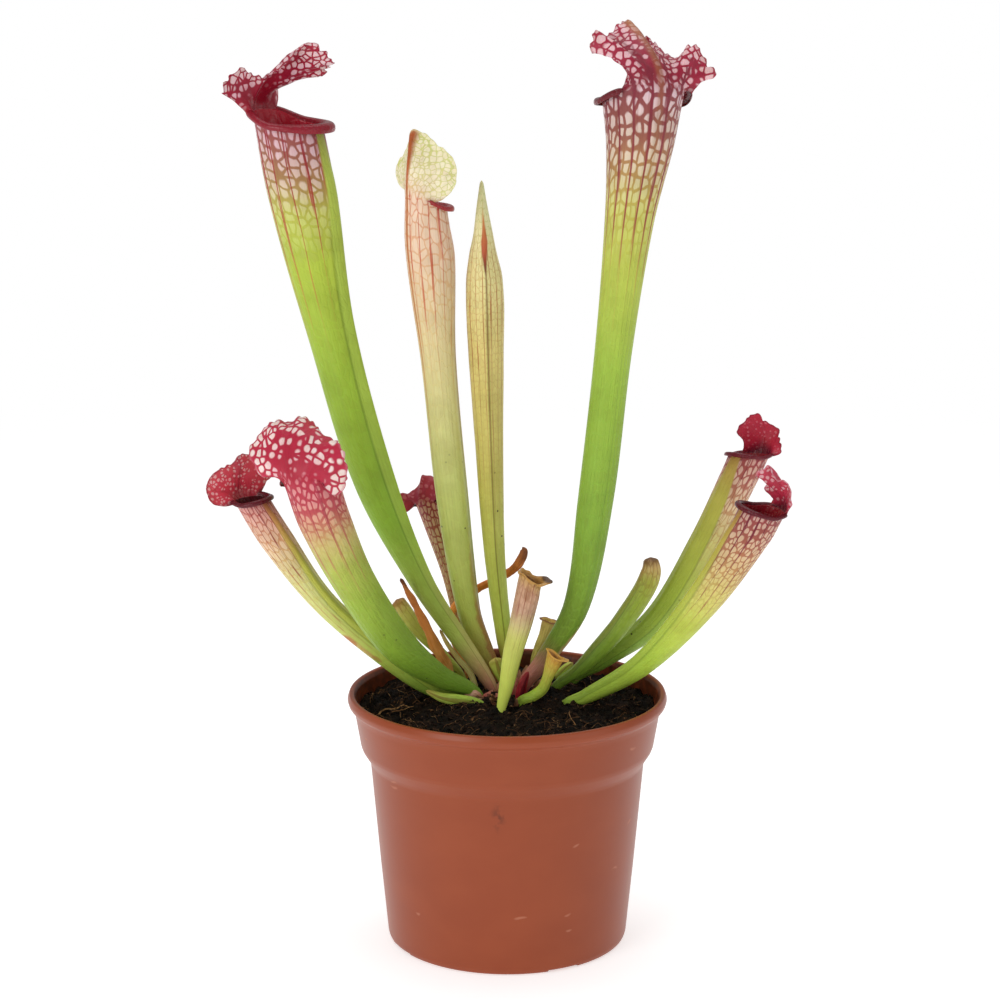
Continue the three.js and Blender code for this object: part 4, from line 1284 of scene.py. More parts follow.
TALL_RIGHT = LeafFinish(
    "tall_right_skin",
    Slot.GREEN,
    pane=colours(
        "0 8a3038, 0.04 a04a48, 0.085 a8685a, 0.115 8f8a48, 0.15 7fa038, 0.35 86ab38, 0.6 9aba40, "
        "0.76 b8c450, 0.84 ccce6e, 0.9 d8c6a6, 1 d8bac2, 1.3 dcaab4, 1.7 e8bcc4, 2 eabcc4"
    ),
    flesh=colours(
        "0 8a3038, 0.04 a85048, 0.085 b8746a, 0.115 9c9450, 0.15 86a83c, 0.35 82a836, 0.6 98b83e, "
        "0.76 b6c24e, 0.84 bcb252, 0.89 b08a50, 0.94 985c4c, 1 863e44, 1.3 921c36, 2 a42442"
    ),
    window=numbers("0 0.7, 0.84 0.64, 0.9 0.56, 1.1 0.52, 1.3 0.5, 1.8 0.66, 2 0.7"),
    line=numbers("0 0.05, 0.84 0.06, 0.95 0.1, 1.1 0.1, 2 0.04"),
    rib=colours("0 8a9a3a, 0.62 a8a040, 0.74 b0803c, 0.86 96443c, 1 7e2838, 2 8a1c36"),
    ribs=numbers("0 0, 0.6 0, 0.74 0.3, 0.86 0.8, 1 1, 1.2 0.9, 1.6 0.4, 2 0.2"),
    rib_count=14,
    rib_width=0.13,
    strip=colours("0 a04a48, 0.1 a8806a, 0.2 a09c50, 0.4 8cac3c, 1 b0ae50"),
    spine=colours("0 7a8a3a, 0.3 5f8a30, 0.8 8a8a3c, 1 96563a, 1.6 a0603c, 2 b8803c"),
    spines=numbers("0 0, 0.15 0.3, 0.85 0, 1 0.5, 1.3 0.75, 2 0.7"),
    spot=2.9,
    throat="5c121f",
    throat_to=1.4,
    edge="96283e",
    lip="5c101c",
    inner="4a0e1a",
    patches=((-0.16, 0.13, 0.13, 0.075, 0.95, "dcb88a"), (0.12, 0.08, 0.2, 0.05, 0.5, "c48a76")),
)
PALE = LeafFinish(
    "pale_skin",
    Slot.PALE,
    pane=colours(
        "0 9a5040, 0.05 b47a50, 0.1 bcb45a, 0.2 c4d262, 0.42 d0da7a, 0.6 dcd892, 0.75 e4d29e, "
        "0.9 eacdb0, 1 eed0b8, 1.18 f0dcc2, 1.4 f6eacc, 2 f4ecca"
    ),
    flesh=colours(
        "0 9a5040, 0.05 b47a50, 0.1 bcb45a, 0.2 c2d060, 0.42 ced878, 0.6 dad48c, 0.75 e0c890, "
        "0.9 deae88, 1 d89c7c, 1.18 dcbc88, 1.4 dcd094, 2 ccd082"
    ),
    window=numbers("0 0.75, 1 0.75, 2 0.8"),
    line=numbers("0 0.02, 1 0.02, 1.3 0.01, 2 0.01"),
    rib=colours("0 9a6a3c, 0.5 c09a5c, 0.7 c8784a, 0.9 c2583c, 1 c04c3a, 1.3 c8a060, 2 b4ba66"),
    ribs=numbers("0 0.1, 0.5 0, 0.68 0.3, 0.85 0.6, 1.02 0.65, 1.2 0.3, 2 0.12"),
    rib_count=13,
    rib_width=0.09,
    strip=colours("0 7a3a30, 0.12 98903f, 0.4 bcc462, 0.7 c9a878, 1 c07c50"),
    spine=colours("0 8a4a3a, 0.4 b9a05c, 0.7 c07a46, 1 b9642f, 2 a8562c"),
    spines=numbers("0 0, 0.5 0.2, 0.75 0.85, 1 1, 1.9 1, 2 0.8"),
    spot=2.0,
    lip="9a2c30",
    throat="d9b890",
    inner="b98a68",
    edge="e6dfae",
    specks=0.5,
    patches=((-0.4, 0.1, 0.16, 0.13, 0.7, "a8603e"), (-0.38, 0.24, 0.09, 0.12, 0.45, "c08a58")),
)
FRONT_LEFT = LeafFinish(
    "front_left_skin",
    Slot.RED,
    pane=colours(
        "0 729a30, 0.35 84a836, 0.62 9ab440, 0.74 b0bc54, 0.82 c8ba74, 0.89 d8a488, 0.95 d88c8c, "
        "1.1 d67c88, 1.3 e6b0ba, 1.6 f2d4d4, 2 f5dfdc"
    ),
    flesh=colours(
        "0 729a30, 0.35 82a634, 0.62 98b23e, 0.74 aeba50, 0.82 c2b068, 0.875 c07c60, 0.92 b44a50, "
        "0.98 ae3044, 1.1 aa2038, 1.4 b0203c, 2 b62844"
    ),
    window=numbers("0 0.72, 0.8 0.66, 0.95 0.5, 1.08 0.26, 1.3 0.36, 1.5 0.5, 2 0.62"),
    line=numbers("0 0.06, 1 0.08, 2 0.06"),
    rib=colours("0 9a9a3e, 0.6 b09a50, 0.74 b47450, 0.9 aa404a, 1 a82c48, 2 9e1f3c"),
    ribs=numbers("0 0, 0.55 0, 0.72 0.4, 0.88 0.6, 1.05 0.5, 1.2 0.1, 2 0"),
    rib_count=12,
    rib_width=0.08,
    strip=colours("0 7c9f38, 0.5 a0b448, 0.9 b8906c, 1 b05060"),
    spot=3.2,
    lip="5a0f20",
    throat="7a152c",
    inner="5a1822",
    edge="c06074",
    specks=1.0,
    loose=0.9,
)
LOW_LEFT = LeafFinish(
    "low_left_skin",
    Slot.RED,
    pane=colours(
        "0 7c9e38, 0.2 8cac3e, 0.34 b4c854, 0.5 ccd672, 0.7 dedc94, 0.88 e6c0a4, 1 d08c8c, 1.3 d4848a, "
        "2 e4a8ac"
    ),
    flesh=colours(
        "0 7c9e38, 0.2 8cac3e, 0.34 b4c854, 0.5 cad26c, 0.7 d8d080, 0.88 cc906c, 1 a44450, 1.3 b8283c, "
        "2 c44654"
    ),
    window=numbers("0 0.78, 0.9 0.74, 1.05 0.46, 1.3 0.38, 2 0.5"),
    line=numbers("0 0.02, 0.95 0.03, 1.3 0.06, 2 0.06"),
    rib=colours("0 a08a40, 0.4 b8784a, 0.7 ac5044, 1 82222e, 1.3 8a1c2e, 2 a0402c"),
    ribs=numbers("0 0, 0.3 0.25, 0.55 0.42, 0.9 0.6, 1.1 0.5, 2 0.3"),
    rib_count=14,
    rib_width=0.08,
    strip=colours("0 789a36, 0.3 acbc48, 0.75 ccca5c, 0.92 cc9c5c, 1 b06c4c"),
    spot=1.5,
    lip="4e0c1a",
    throat="ac2438",
    throat_to=1.2,
    inner="4a1018",
    edge="86203a",
    patches=(
        (-0.24, 0.46, 0.09, 0.035, 0.85, "b8683a"), (-0.27, 0.4, 0.06, 0.04, 0.6, "c07c44"),
        (-0.3, 0.36, 0.05, 0.02, 0.5, "a85c34"),
    ),
)
SMALL_BACK = LeafFinish(
    "small_back_skin",
    Slot.RED,
    pane=colours("0 a8844c, 0.4 bca05c, 0.8 d4b48c, 1 cc9484, 1.3 b85060, 2 c06472"),
    flesh=colours("0 96683f, 0.4 a8784a, 0.8 ac6450, 1 96303c, 1.4 a0283e, 2 a63444"),
    window=numbers("0 0.7, 0.9 0.66, 1.1 0.4, 2 0.4"),
    line=numbers("0 0.06, 2 0.08"),
    rib=colours("0 7a4630, 1 8e3a34, 2 7a2430"),
    ribs=numbers("0 0.4, 0.6 0.7, 1.2 0.4, 2 0.2"),
    rib_count=12,
    rib_width=0.08,
    strip=colours("0 8a5a3c, 0.6 b0924c, 1 a07040"),
    spot=2.2,
    lip="50101c",
    throat="6a1828",
    inner="4a1018",
    edge="8a3038",
)
UPPER_RIGHT = LeafFinish(
    "upper_right_skin",
    Slot.RED,
    pane=colours(
        "0 78a038, 0.35 90b042, 0.58 b0bc52, 0.7 ccc678, 0.82 dec49c, 0.95 d8aea0, 1.1 c4606e, "
        "1.3 c85c6e, 2 cc6476"
    ),
    flesh=colours(
        "0 78a038, 0.35 90b042, 0.58 aeba50, 0.7 c6b66c, 0.8 c09668, 0.92 a85e54, 1.03 942636, "
        "1.3 b02038, 2 b22640"
    ),
    window=numbers("0 0.7, 0.7 0.66, 0.95 0.5, 1.08 0.38, 1.2 0.26, 2 0.38"),
    line=numbers("0 0.03, 0.9 0.04, 1 0.05, 2 0.08"),
    rib=colours("0 8aa03c, 0.55 a8984a, 0.75 985044, 1 7e2436, 2 7e1630"),
    ribs=numbers("0 0, 0.5 0.1, 0.7 0.4, 0.95 0.6, 1.2 0.2, 2 0.15"),
    rib_count=15,
    rib_width=0.09,
    strip=colours("0 6e9434, 0.5 a4b840, 0.85 bcb44e, 1 b89048"),
    strip_from=numbers("0 0.36, 0.6 0.37, 0.85 0.4, 1 0.45"),
    spot=1.7,
    lip="5e1020",
    throat="62122a",
    throat_to=1.35,
    inner="8c1428",
    edge="7a1834",
    specks=0.9,
)
LOWER_RIGHT = LeafFinish(
    "lower_right_skin",
    Slot.RED,
    pane=colours(
        "0 a8c648, 0.4 b2d048, 0.58 c4d256, 0.7 d8ce74, 0.8 dec48c, 0.92 d6b298, 1.05 bc8a90, "
        "1.3 d48c98, 2 e8b0b8"
    ),
    flesh=colours(
        "0 a8c648, 0.4 b2d048, 0.58 c2ce52, 0.7 c8b864, 0.79 be905c, 0.9 a25c4a, 1.03 86283a, "
        "1.3 b82e48, 2 c04258"
    ),
    window=numbers("0 0.7, 0.7 0.66, 0.95 0.5, 1.1 0.4, 1.3 0.3, 1.6 0.4, 2 0.5"),
    line=numbers("0 0.03, 0.9 0.04, 1 0.06, 2 0.06"),
    rib=colours("0 8aa03c, 0.5 ad9648, 0.7 9a5444, 0.9 7e2a36, 1 701e2c, 2 9e2040"),
    ribs=numbers("0 0, 0.45 0.2, 0.65 0.5, 0.95 0.7, 1.3 0.2, 2 0.1"),
    rib_count=14,
    rib_width=0.09,
    strip=colours("0 8cae3c, 0.5 b2c84a, 0.85 c0b050, 1 ac7a44"),
    spot=2.0,
    lip="4e0a18",
    throat="5c1024",
    throat_to=1.3,
    inner="961426",
    edge="d090a0",
)
UNOPENED = LeafFinish(
    "unopened_skin",
    Slot.PALE,
    pane=colours(
        "0 9a5c44, 0.05 bcac50, 0.15 d2e864, 0.45 d2ca6a, 0.7 e2d284, 0.86 ece4a6, 0.92 f0ecba, 1 e6e4b0"
    ),
    flesh=colours(
        "0 9a5c44, 0.05 bcac50, 0.15 d0e662, 0.45 ccc062, 0.7 d8c078, 0.86 dcc88a, 0.92 d6d492, 1 bec67a"
    ),
    window=numbers("0 0.7, 1 0.8, 2 0.8"),
    line=numbers("0 0.03, 0.8 0.03, 1 0.02, 2 0.02"),
    rib=colours("0 9a7a3c, 0.4 b08a48, 0.7 ae6c3c, 0.9 b0602f, 1 98a050"),
    ribs=numbers("0 0.1, 0.3 0.3, 0.6 0.6, 0.88 0.65, 0.95 0.3, 1 0.1"),
    rib_count=16,
    rib_width=0.09,
    strip=colours(
        "0 6a3a28, 0.1 8a6a3a, 0.5 9a6438, 0.7 8a4a2c, 0.84 6e3420, 0.87 b85838, 0.93 c88048, "
        "0.96 b8b06a, 1 a2aa5c"
    ),
    strip_from=numbers("0 0.494, 0.83 0.493, 0.855 0.478, 0.89 0.45, 0.92 0.475, 0.95 0.49, 1 0.495"),
    specks=0.2,
)
FRESH = LeafFinish(
    "fresh_skin",
    Slot.GREEN,
    pane=colours("0 9cba48, 0.5 aac84c, 0.85 bcc856, 1 c8b860"),
    flesh=colours("0 96b444, 0.5 a2c048, 0.85 b4be4e, 1 b8a44c"),
    rib=colours("0 6f9434, 1 8a8a38"),
    ribs=numbers("0 0.25, 1 0.3"),
    rib_count=9,
    strip=colours("0 84a03a, 1 9a8438"),
    specks=1.0,
)
CUT_RIGHT = LeafFinish(
    "cut_right_skin",
    Slot.GREEN,
    pane=colours("0 789e38, 0.45 90b03c, 0.75 a4b842, 0.88 b8bc50, 0.95 d0b474, 1 8a6040"),
    flesh=colours("0 749a36, 0.45 8aaa3a, 0.75 9cae3e, 0.88 aca446, 0.95 bc965a, 1 5e3c26"),
    rib=colours("0 5f8a30, 0.8 8a8a38, 1 6a4428"),
    ribs=numbers("0 0.3, 1 0.4"),
    rib_count=11,
    strip=colours("0 688c30, 0.8 a0a444, 0.95 b08a50, 1 5e3c26"),
    specks=0.4,
)
SMALL_LEFT = LeafFinish(
    "small_left_skin",
    Slot.GREEN,
    pane=colours("0 a6ba4c, 0.6 c4d05e, 0.88 d4d270, 0.95 dcc478, 1 b88448"),
    flesh=colours("0 a2b44a, 0.6 beca58, 0.88 ccc866, 0.95 c8a65c, 1 9a6838"),
    rib=colours("0 8a8a3a, 0.6 a09a48, 1 9a6438"),
    ribs=numbers("0 0.1, 0.5 0.2, 1 0.5"),
    rib_count=9,
    strip=colours("0 869a3c, 0.8 b4ac54, 1 8a5a30"),
)
BUD = LeafFinish(
    "bud_skin",
    Slot.RED,
    pane=colours("0 98202c, 0.6 b02c38, 1 b84048"),
    flesh=colours("0 801824, 0.6 981e2c, 1 a83038"),
    window=numbers("0 0.4, 2 0.4"),
    rib=colours("0 5a1224, 1 761828"),
    ribs=numbers("0 0.3, 1 0.4"),
    strip=colours("0 661426, 1 7e182a"),
)
DRIED_FRONT = LeafFinish(
    "dried_front_skin",
    Slot.PALE,
    pane=colours(
        "0 ccde5c, 0.3 e6f470, 0.6 dee27a, 0.7 dccf92, 0.8 d8b094, 0.93 d4a88a, 1 cca464, 1.4 c89c54, "
        "2 8a5a34"
    ),
    flesh=colours(
        "0 ccde5c, 0.3 e4f26e, 0.6 dcde76, 0.7 d8c688, 0.8 cca286, 0.93 c49476, 1 b68c50, 1.4 b08040, "
        "2 6e442a"
    ),
    window=numbers("0 0, 0.6 0, 0.72 0.5, 1 0.6, 2 0.6"),
    line=numbers("0 0.05, 2 0.06"),
    rib=colours("0 9aa040, 0.55 a89a48, 0.75 a06048, 1.2 8a4a2c, 2 5a3420"),
    ribs=numbers("0 0, 0.45 0.1, 0.7 0.5, 1 0.6, 2 0.6"),
    rib_count=13,
    rib_width=0.09,
    strip=colours("0 98a83e, 0.6 b8b856, 0.8 c8a888, 1 98703c"),
    lip="c09450",
    inner="9a6e40",
    edge="6a4024",
    specks=0.7,
    patches=(
        (0.5, 1.85, 0.1, 0.5, 0.9, "4e2e1e"), (-0.5, 1.85, 0.1, 0.5, 0.9, "4e2e1e"),
        (-0.2, 0.92, 0.06, 0.06, 0.5, "94603c"), (-0.1, 0.8, 0.05, 0.08, 0.4, "a8705a"),
    ),
)
BENT_FRONT = LeafFinish(
    "bent_front_skin",
    Slot.GREEN,
    pane=colours("0 90b63e, 0.5 b0ce48, 0.75 ccd056, 0.92 e2c456, 1 e6b652, 2 e0a44a"),
    flesh=colours("0 8aae3a, 0.5 a8c644, 0.75 c2c64e, 0.92 d8b24e, 1 dca648, 2 c88a3e"),
    rib=colours("0 7aa034, 1 c08a3c, 2 8a4a2c"),
    ribs=numbers("0 0.1, 0.8 0.3, 2 0.5"),
    rib_count=11,
    strip=colours("0 7ea034, 0.75 b0b646, 1 ca963e"),
    lip="e4b052",
    inner="b07c44",
    edge="7a4a2c",
    specks=0.7,
)
TRUMPET_DRIED = DriedFinish(
    "trumpet_dried_skin",
    base=colours("0 b4b85a, 0.5 c8c464, 0.9 d4c06a, 1.1 dcbc68, 2 c89a50"),
    fibre="b4a04e",
    dark="8a6034",
    dark_from=1.5,
)
DEAD_LEAF = DriedFinish(
    "dead_leaf_skin",
    base=colours("0 fad88c, 0.3 fab868, 0.55 f09850, 0.8 d88048, 1 a85c38"),
    fibre="e8903e",
    dark="5a3020",
    dark_from=0.92,
)
DEAD_STALK = DriedFinish(
    "dead_stalk_skin",
    base=colours("0 f0ac5c, 0.5 ffa24e, 0.8 e88840, 1 8e5030"),
    fibre="e4883e",
    dark="5a341f",
    dark_from=0.9,
)
SHEATH = DriedFinish(
    "sheath_skin",
    base=colours("0 f6e898, 0.5 faec9c, 1 e8cc74"),
    fibre="e0c470",
    dark="8a5a34",
    dark_from=0.9,
)
CROWN = DriedFinish(
    "crown_skin",
    base=colours("0 6a4030, 0.5 8e5a42, 1 b48a60"),
    fibre="744432",
    dark="3a241a",
    dark_from=1.2,
    slot=Slot.ROOTSTOCK,
)
FLAKE_TAN = DriedFinish(
    "flake_tan_skin",
    base=colours("0 c89a7c, 0.5 dcb49a, 1 c8987c"),
    fibre="a8705a",
    dark="7a4c38",
    dark_from=1.1,
    slot=Slot.ROOTSTOCK,
)
FLAKE_RED = DriedFinish(
    "flake_red_skin",
    base=colours("0 8a3c30, 0.5 a8584a, 1 c0806a"),
    fibre="7a3028",
    dark="4a241c",
    dark_from=1.1,
    slot=Slot.ROOTSTOCK,
)
FLAKES: Sequence[tuple[DriedFinish, Sequence[Row]]] = (
    (
        FLAKE_TAN,
        numbers("-18 8.4 89.2 0.5 0.4, -15.2 8.2 91.2 1.4 0.5, -12 8.4 92 1.6 0.5, -9.4 9 91 0.6 0.4"),
    ),
    (FLAKE_TAN, numbers("-12.6 7.6 89 0.6 0.4, -10.4 7.4 90.4 1 0.5, -8 7.8 91 0.5 0.4")),
    (
        FLAKE_RED,
        numbers("-9.6 8.8 87.6 1.2 1, -8.2 8.4 90.4 1.6 1.1, -6.6 8.6 92.4 1.2 0.9, -5.6 9 93.8 0.4 0.4"),
    ),
    (
        FLAKE_RED,
        numbers("-6.2 9.8 87.6 1 1, -4.9 9 90.2 1.5 1.1, -3.6 8.6 91.8 1 0.8, -2.8 8.4 92.8 0.4 0.4"),
    ),
    (
        CROWN,
        numbers("-3.8 13 87.6 1.5 1.2, -3.2 12.6 92 1.7 1.2, -2.2 12.4 95.4 1.2 1, -1.6 12.4 97 0.4 0.4"),
    ),
    (FLAKE_RED, numbers("1.6 10.6 87.6 1.4 1, 2.2 10.2 92 1.8 1, 3.2 10 96 1.4 0.8, 4 10 98.6 0.4 0.4")),
    (CROWN, numbers("8.4 11.6 87.6 1 0.8, 9.8 11.4 91.6 1.4 0.9, 11.2 11.4 95 1 0.7, 12.2 11.6 97 0.4 0.4")),
)

PITCHERS = (
    Pitcher(
        "pitcher_tall_left",
        front=(0.91, -0.42), wing=1.6, dip=(4, -0.6), lip=(1.3, 2.2),
        stations=numbers(
            "-3 19 83 1.6 1.9, -7 19 94 2.2 2.7, -16 20 107.5 2.8 3.6, -33.9 25 133.3 3.5 4.5, "
            "-51.4 32 170.8 6.77 7.82, -67.3 37 227.3 8.16 9.06, -77.4 40 277.8 12.14 12.89, "
            "-82.2 40 306.2 12.56 12.73"
        ),
        hood=numbers(
            "-17.4 -5 7, -20.7 -9 10, -22.9 -11 12.5, -22.7 -11.5 15.1, -20.8 -10 18.3, -17 -8 20.5, "
            "-14 -5 18.5, -9.9 -3 17.8, -6.4 -4 19.9, -1.8 -5 22.9, 2.8 -6 24.8, 6.1 -5 27.5, 9.2 -4 29.7, "
            "12.2 -2 28.5, 14.7 0 25.7, 16.3 3 22.6, 14.6 6 20, 10.6 9 19, 6.5 12 18.5, 1.6 14 18.8, "
            "-4.6 16 16.4"
        ),
        apex=16, column=48, bend=(0.85, 0.75, 0.1), ruffle=(6, 1.5), hollow=0.42,
        finish=TALL_LEFT, frill=(21, 0.75, 1.1), cell=(3.7, 4.5), columns=(60, 190),
    ),
    Pitcher(
        "pitcher_tall_right",
        front=(-0.42, 0.91), wing=1.6, dip=(1, 0), lip=(1.3, 1.9),
        stations=numbers(
            "2.6 12 84 1.7 2, 6 12 94.5 2.6 3, 13.6 11 104.6 3.2 3.7, 26.2 6 128 4.8 5.3, "
            "32.7 -3 170.4 6.59 6.35, 38.4 -12 227.9 6.71 6.66, 43.5 -17 276.1 8.86 8.5, "
            "47 -18 303 12.33 11.16, 47.8 -18 317.1 14.67 13.03"
        ),
        hood=numbers(
            "18 1 3.7, 19 0 6.1, 21 -1 8.1, 23.4 -1 9.2, 24.8 -1 11.9, 22 0 14.2, 21.2 1 16.5, 19.9 1 19, "
            "17.1 1.5 19.7, 14.3 2 18.2, 10.9 3 16.8, 7.5 5 18, 3.9 8 20.1, 1.1 12 23.1, -2 15 25.9, "
            "-4.1 16 28, -7.1 13 27, -11.2 9 24.8, -13.9 6 22.1, -16 4 23.4, -17.6 2 24.5, -18.7 0.5 21.8, "
            "-18.2 -1 18.7, -15.4 -2 17.9, -12.7 -3 17.7, -11.3 -4 14.7, -8.9 -5 12.5, -6.4 -6 10.4"
        ),
        apex=16, column=60, ruffle=(6, 1.4), hollow=0.4,
        finish=TALL_RIGHT, frill=(19, 0.6, 0.9), cell=(3.5, 4.8), columns=(60, 190), seed=5,
    ),
    Pitcher(
        "pitcher_pale",
        front=(0.86, 0.5), wing=1.4, dip=(2.5, 0), lip=(0.7, 1.3),
        stations=numbers(
            "-1 30 83 1.6 1.9, -4 31 92.5 2.3 2.8, -9 31 103 3.2 3.9, -15.2 30.5 120 3.8 4.4, "
            "-21.3 28.5 164 5.1 5.9, -26.2 22 219 5.75 6.38, -28.9 18 259 7.97 9.04, -30 16 278 7.17 7.77"
        ),
        hood=numbers(
            "7.6 -7 2.6, 10 -8 7, 10.8 -7 12.5, 10.2 -5 17, 7.5 -3 20, 3.5 -1 22.8, 0.5 0 25.6, -2 1 27, "
            "-5.4 1 27.4, -6.5 4 23, -8.2 7 19, -10.6 9 15.5, -11.6 10 11, -10.2 10 6.6, -6 10 4"
        ),
        apex=9, column=76, bend=(1.1, 0.35, 0.6), ruffle=(4, 0.5), hollow=0.4,
        finish=PALE, frill=(9, 0.2, 0.35), cell=(2.4, 4.6), columns=(52, 130), seed=8,
    ),
    Pitcher(
        "pitcher_front_left",
        front=(0.55, 0.83), wing=1.4, dip=(2, 0), lip=(0.8, 1.3),
        stations=numbers(
            "-7 12 84 1.5 1.6, -13 11 92.8 2.4 2.6, -25.6 5 100.3 4.2 4.5, -41 -4 115.4 6.5 7, "
            "-56.2 -13 141.3 7.53 7.9, -66.7 -18 165.7 9.37 9.43, -70.9 -20 179.6 9.92 9.57"
        ),
        hood=numbers(
            "8.3 -12 -2.4, 11.3 -13 -0.4, 12.7 -12.6 3.6, 12.9 -11 8.6, 12.1 -8 14.2, 8.9 -5 17.7, "
            "4.5 0 18.7, 0.3 6 22.1, -3.7 10 23.7, -8.6 11 21.5, -14.1 11 22.5, -19.6 9 17.5, "
            "-23.1 6 12.6, -22.1 3 7.2, -17.7 1 3.8, -12.1 0 4.2"
        ),
        apex=9, column=66, bend=(1.1, 0.9, -0.25), ruffle=(7, 0.9), hollow=0.45,
        finish=FRONT_LEFT, frill=(13, 0.35, 0.6), cell=(2.4, 3.6), columns=(52, 150), seed=13,
    ),
    Pitcher(
        "pitcher_low_left",
        front=(0.75, -0.66), wing=1, dip=(0.5, -2.4), lip=(0.6, 0.9),
        stations=numbers(
            "-12 17 84 1.3 1.4, -16 15.4 89.5 2 2.2, -29 12.4 93.6 3.2 3.4, -46.8 13 106.8 4.3 4.5, "
            "-69.5 9 128.5 4.55 4.66, -86.2 1 154.6 6.03 6.07, -94.6 -2 169.9 5.91 6.08"
        ),
        hood=numbers(
            "-10 -4 -1.7, -15.6 -4 0.3, -17 -2 4.7, -15.1 0 9.7, -10.2 2 12.9, -7.4 3 13.7, -4.6 4 16.7, "
            "-0.6 6 16.3, 3 7 13.3, 5.8 8 9.3, 5 8 5.9"
        ),
        apex=7, column=70, bend=(1.1, 0.7, 0.3), ruffle=(5, 0.7), hollow=0.4,
        finish=LOW_LEFT, frill=(11, 0.25, 0.4), cell=(1.6, 4.2), columns=(44, 110), seed=21,
    ),
    Pitcher(
        "pitcher_small_back",
        front=(0.55, 0.83), wing=0.6, dip=(0.5, 0), lip=(0.6, 0.9),
        stations=numbers(
            "-11 39.5 84 1.2 1.3, -13.8 43 93 1.6 1.8, -17 47 103.4 2.1 2.3, -22.4 53 128.4 3.1 3.3, "
            "-28.6 56 149.2 4.5 4.5, -30.6 56 156 5.1 5.1"
        ),
        hood=numbers(
            "3.6 -1 2.5, 4.4 0 6, 3.2 1 10.4, -0.2 2 11.5, -3 2 11.2, -4.4 2 7.6, -7.8 2 5, -11.6 0 4.4, "
            "-12.2 0 0.5, -9.8 -1 -3"
        ),
        apex=4, column=70, bend=(1.1, 0.8, 0), ruffle=(4, 0.6), hollow=0.35,
        finish=SMALL_BACK, frill=(8, 0.2, 0.3), cell=(1.8, 3.2), columns=(40, 90), seed=34,
    ),
    Pitcher(
        "pitcher_upper_right",
        front=(-0.75, -0.66), wing=1.1, dip=(1.4, 2.2), lip=(0.5, 0.9),
        stations=numbers(
            "20 30 84 1.4 1.5, 27 30 93.2 2.2 2.4, 36.5 31 99 3.3 3.6, 59.4 35 116 5.3 5.6, "
            "78 41 144.4 6.6 6.8, 90.4 46 169 7.1 7.2, 94 47 177 7.4 7.4"
        ),
        hood=numbers(
            "-1.2 6 6, -3.6 6 8.6, -3.4 6 11, -1 6 13.2, 2 7 15.2, 4.6 8 15.6, 6 8 13, 8.6 7 12.2, "
            "12 4 9.4, 13 0 4.4, 11.6 -3 1.6"
        ),
        apex=6, column=64, bend=(1.1, 0.45, 0.5), ruffle=(4, 0.8), hollow=0.4,
        finish=UPPER_RIGHT, frill=(9, 0.25, 0.4), cell=(1.9, 4.0), columns=(44, 110), seed=55,
    ),
    Pitcher(
        "pitcher_lower_right",
        front=(-0.95, -0.31), wing=1.2, dip=(0.9, 1.2), lip=(0.5, 0.9),
        stations=numbers(
            "17.5 7.5 84 1.2 1.4, 23 5 90 1.8 2, 30 3 93 2.8 3.2, 51 -4 108 4.3 4.6, "
            "72.5 -12 134.7 6.3 6.7, 89 -17 161.5 7.6 8, 92.8 -18 169.5 8 8.3"
        ),
        hood=numbers(
            "5.6 6 5, 2.8 6 6, 2.4 5 8, 3.2 4 10.2, 0.4 2 12, -1.8 1 13.6, -0.6 0 15.4, 2 -1 17, "
            "3.4 -2 15, 5.2 -3 13, 8.2 -4 12, 10 -5 9.4, 10 -6 5.8, 10.6 -6 3.6, 9.4 -5 1.8"
        ),
        apex=7, column=50, bend=(1.1, 0.7, 0.3), ruffle=(5, 0.7), hollow=0.4,
        finish=LOWER_RIGHT, frill=(9, 0.25, 0.4), cell=(1.9, 2.8), columns=(44, 110), seed=89,
    ),
    Pitcher(
        "pitcher_dried_front",
        front=(0.95, 0.25), wing=0.5, dip=(2.2, 0), lip=(0.5, 3.1),
        stations=numbers(
            "-2.6 -8 84 1.1 1.2, -2.4 -7 90.5 1.6 1.7, -0.5 -7 100 2.4 2.6, 2 -8 113.6 3.2 3.5, "
            "5.2 -9 126.2 3.8 4.1, 8.5 -11 142.2 4.2 4.5"
        ),
        hood=(), hollow=0.16, finish=DRIED_FRONT, turn=105, columns=(60, 60), cell=(1.6, 3.6), brim=1.3,
        seed=2,
    ),
    Pitcher(
        "trumpet_dried_back",
        front=(-0.2, -0.98), wing=0.3, dip=(0, 0), lip=(0.9, 1),
        stations=numbers(
            "10 43 84 1.2 1.2, 11 46 95 1.6 1.6, 13 48 100.4 2 2, 15 48 105 2.3 2.3, 16.4 48 110 2.7 2.7"
        ),
        hood=(), hollow=0.25, finish=TRUMPET_DRIED, turn=105, columns=(50, 40), brim=0.6, seed=4,
    ),
    Pitcher(
        "leaf_bent_front",
        front=(0.9, -0.44), wing=0.3, dip=(1.2, 0), lip=(0.5, 1.7),
        stations=numbers(
            "1.5 1 84.5 0.9 1, 5 0 92 1.4 1.6, 9.7 -1 94.5 1.8 1.9, 13.2 -2 97.6 1.8 1.9, "
            "15 -3 102 1.8 1.9, 16.9 -3 107.6 2.4 2.8, 17.8 -3 110.2 2.6 3.5"
        ),
        hood=(), hollow=0.22, finish=BENT_FRONT, turn=105, columns=(50, 40), cell=(1.6, 3.4), brim=0.7,
        seed=6,
    ),
)

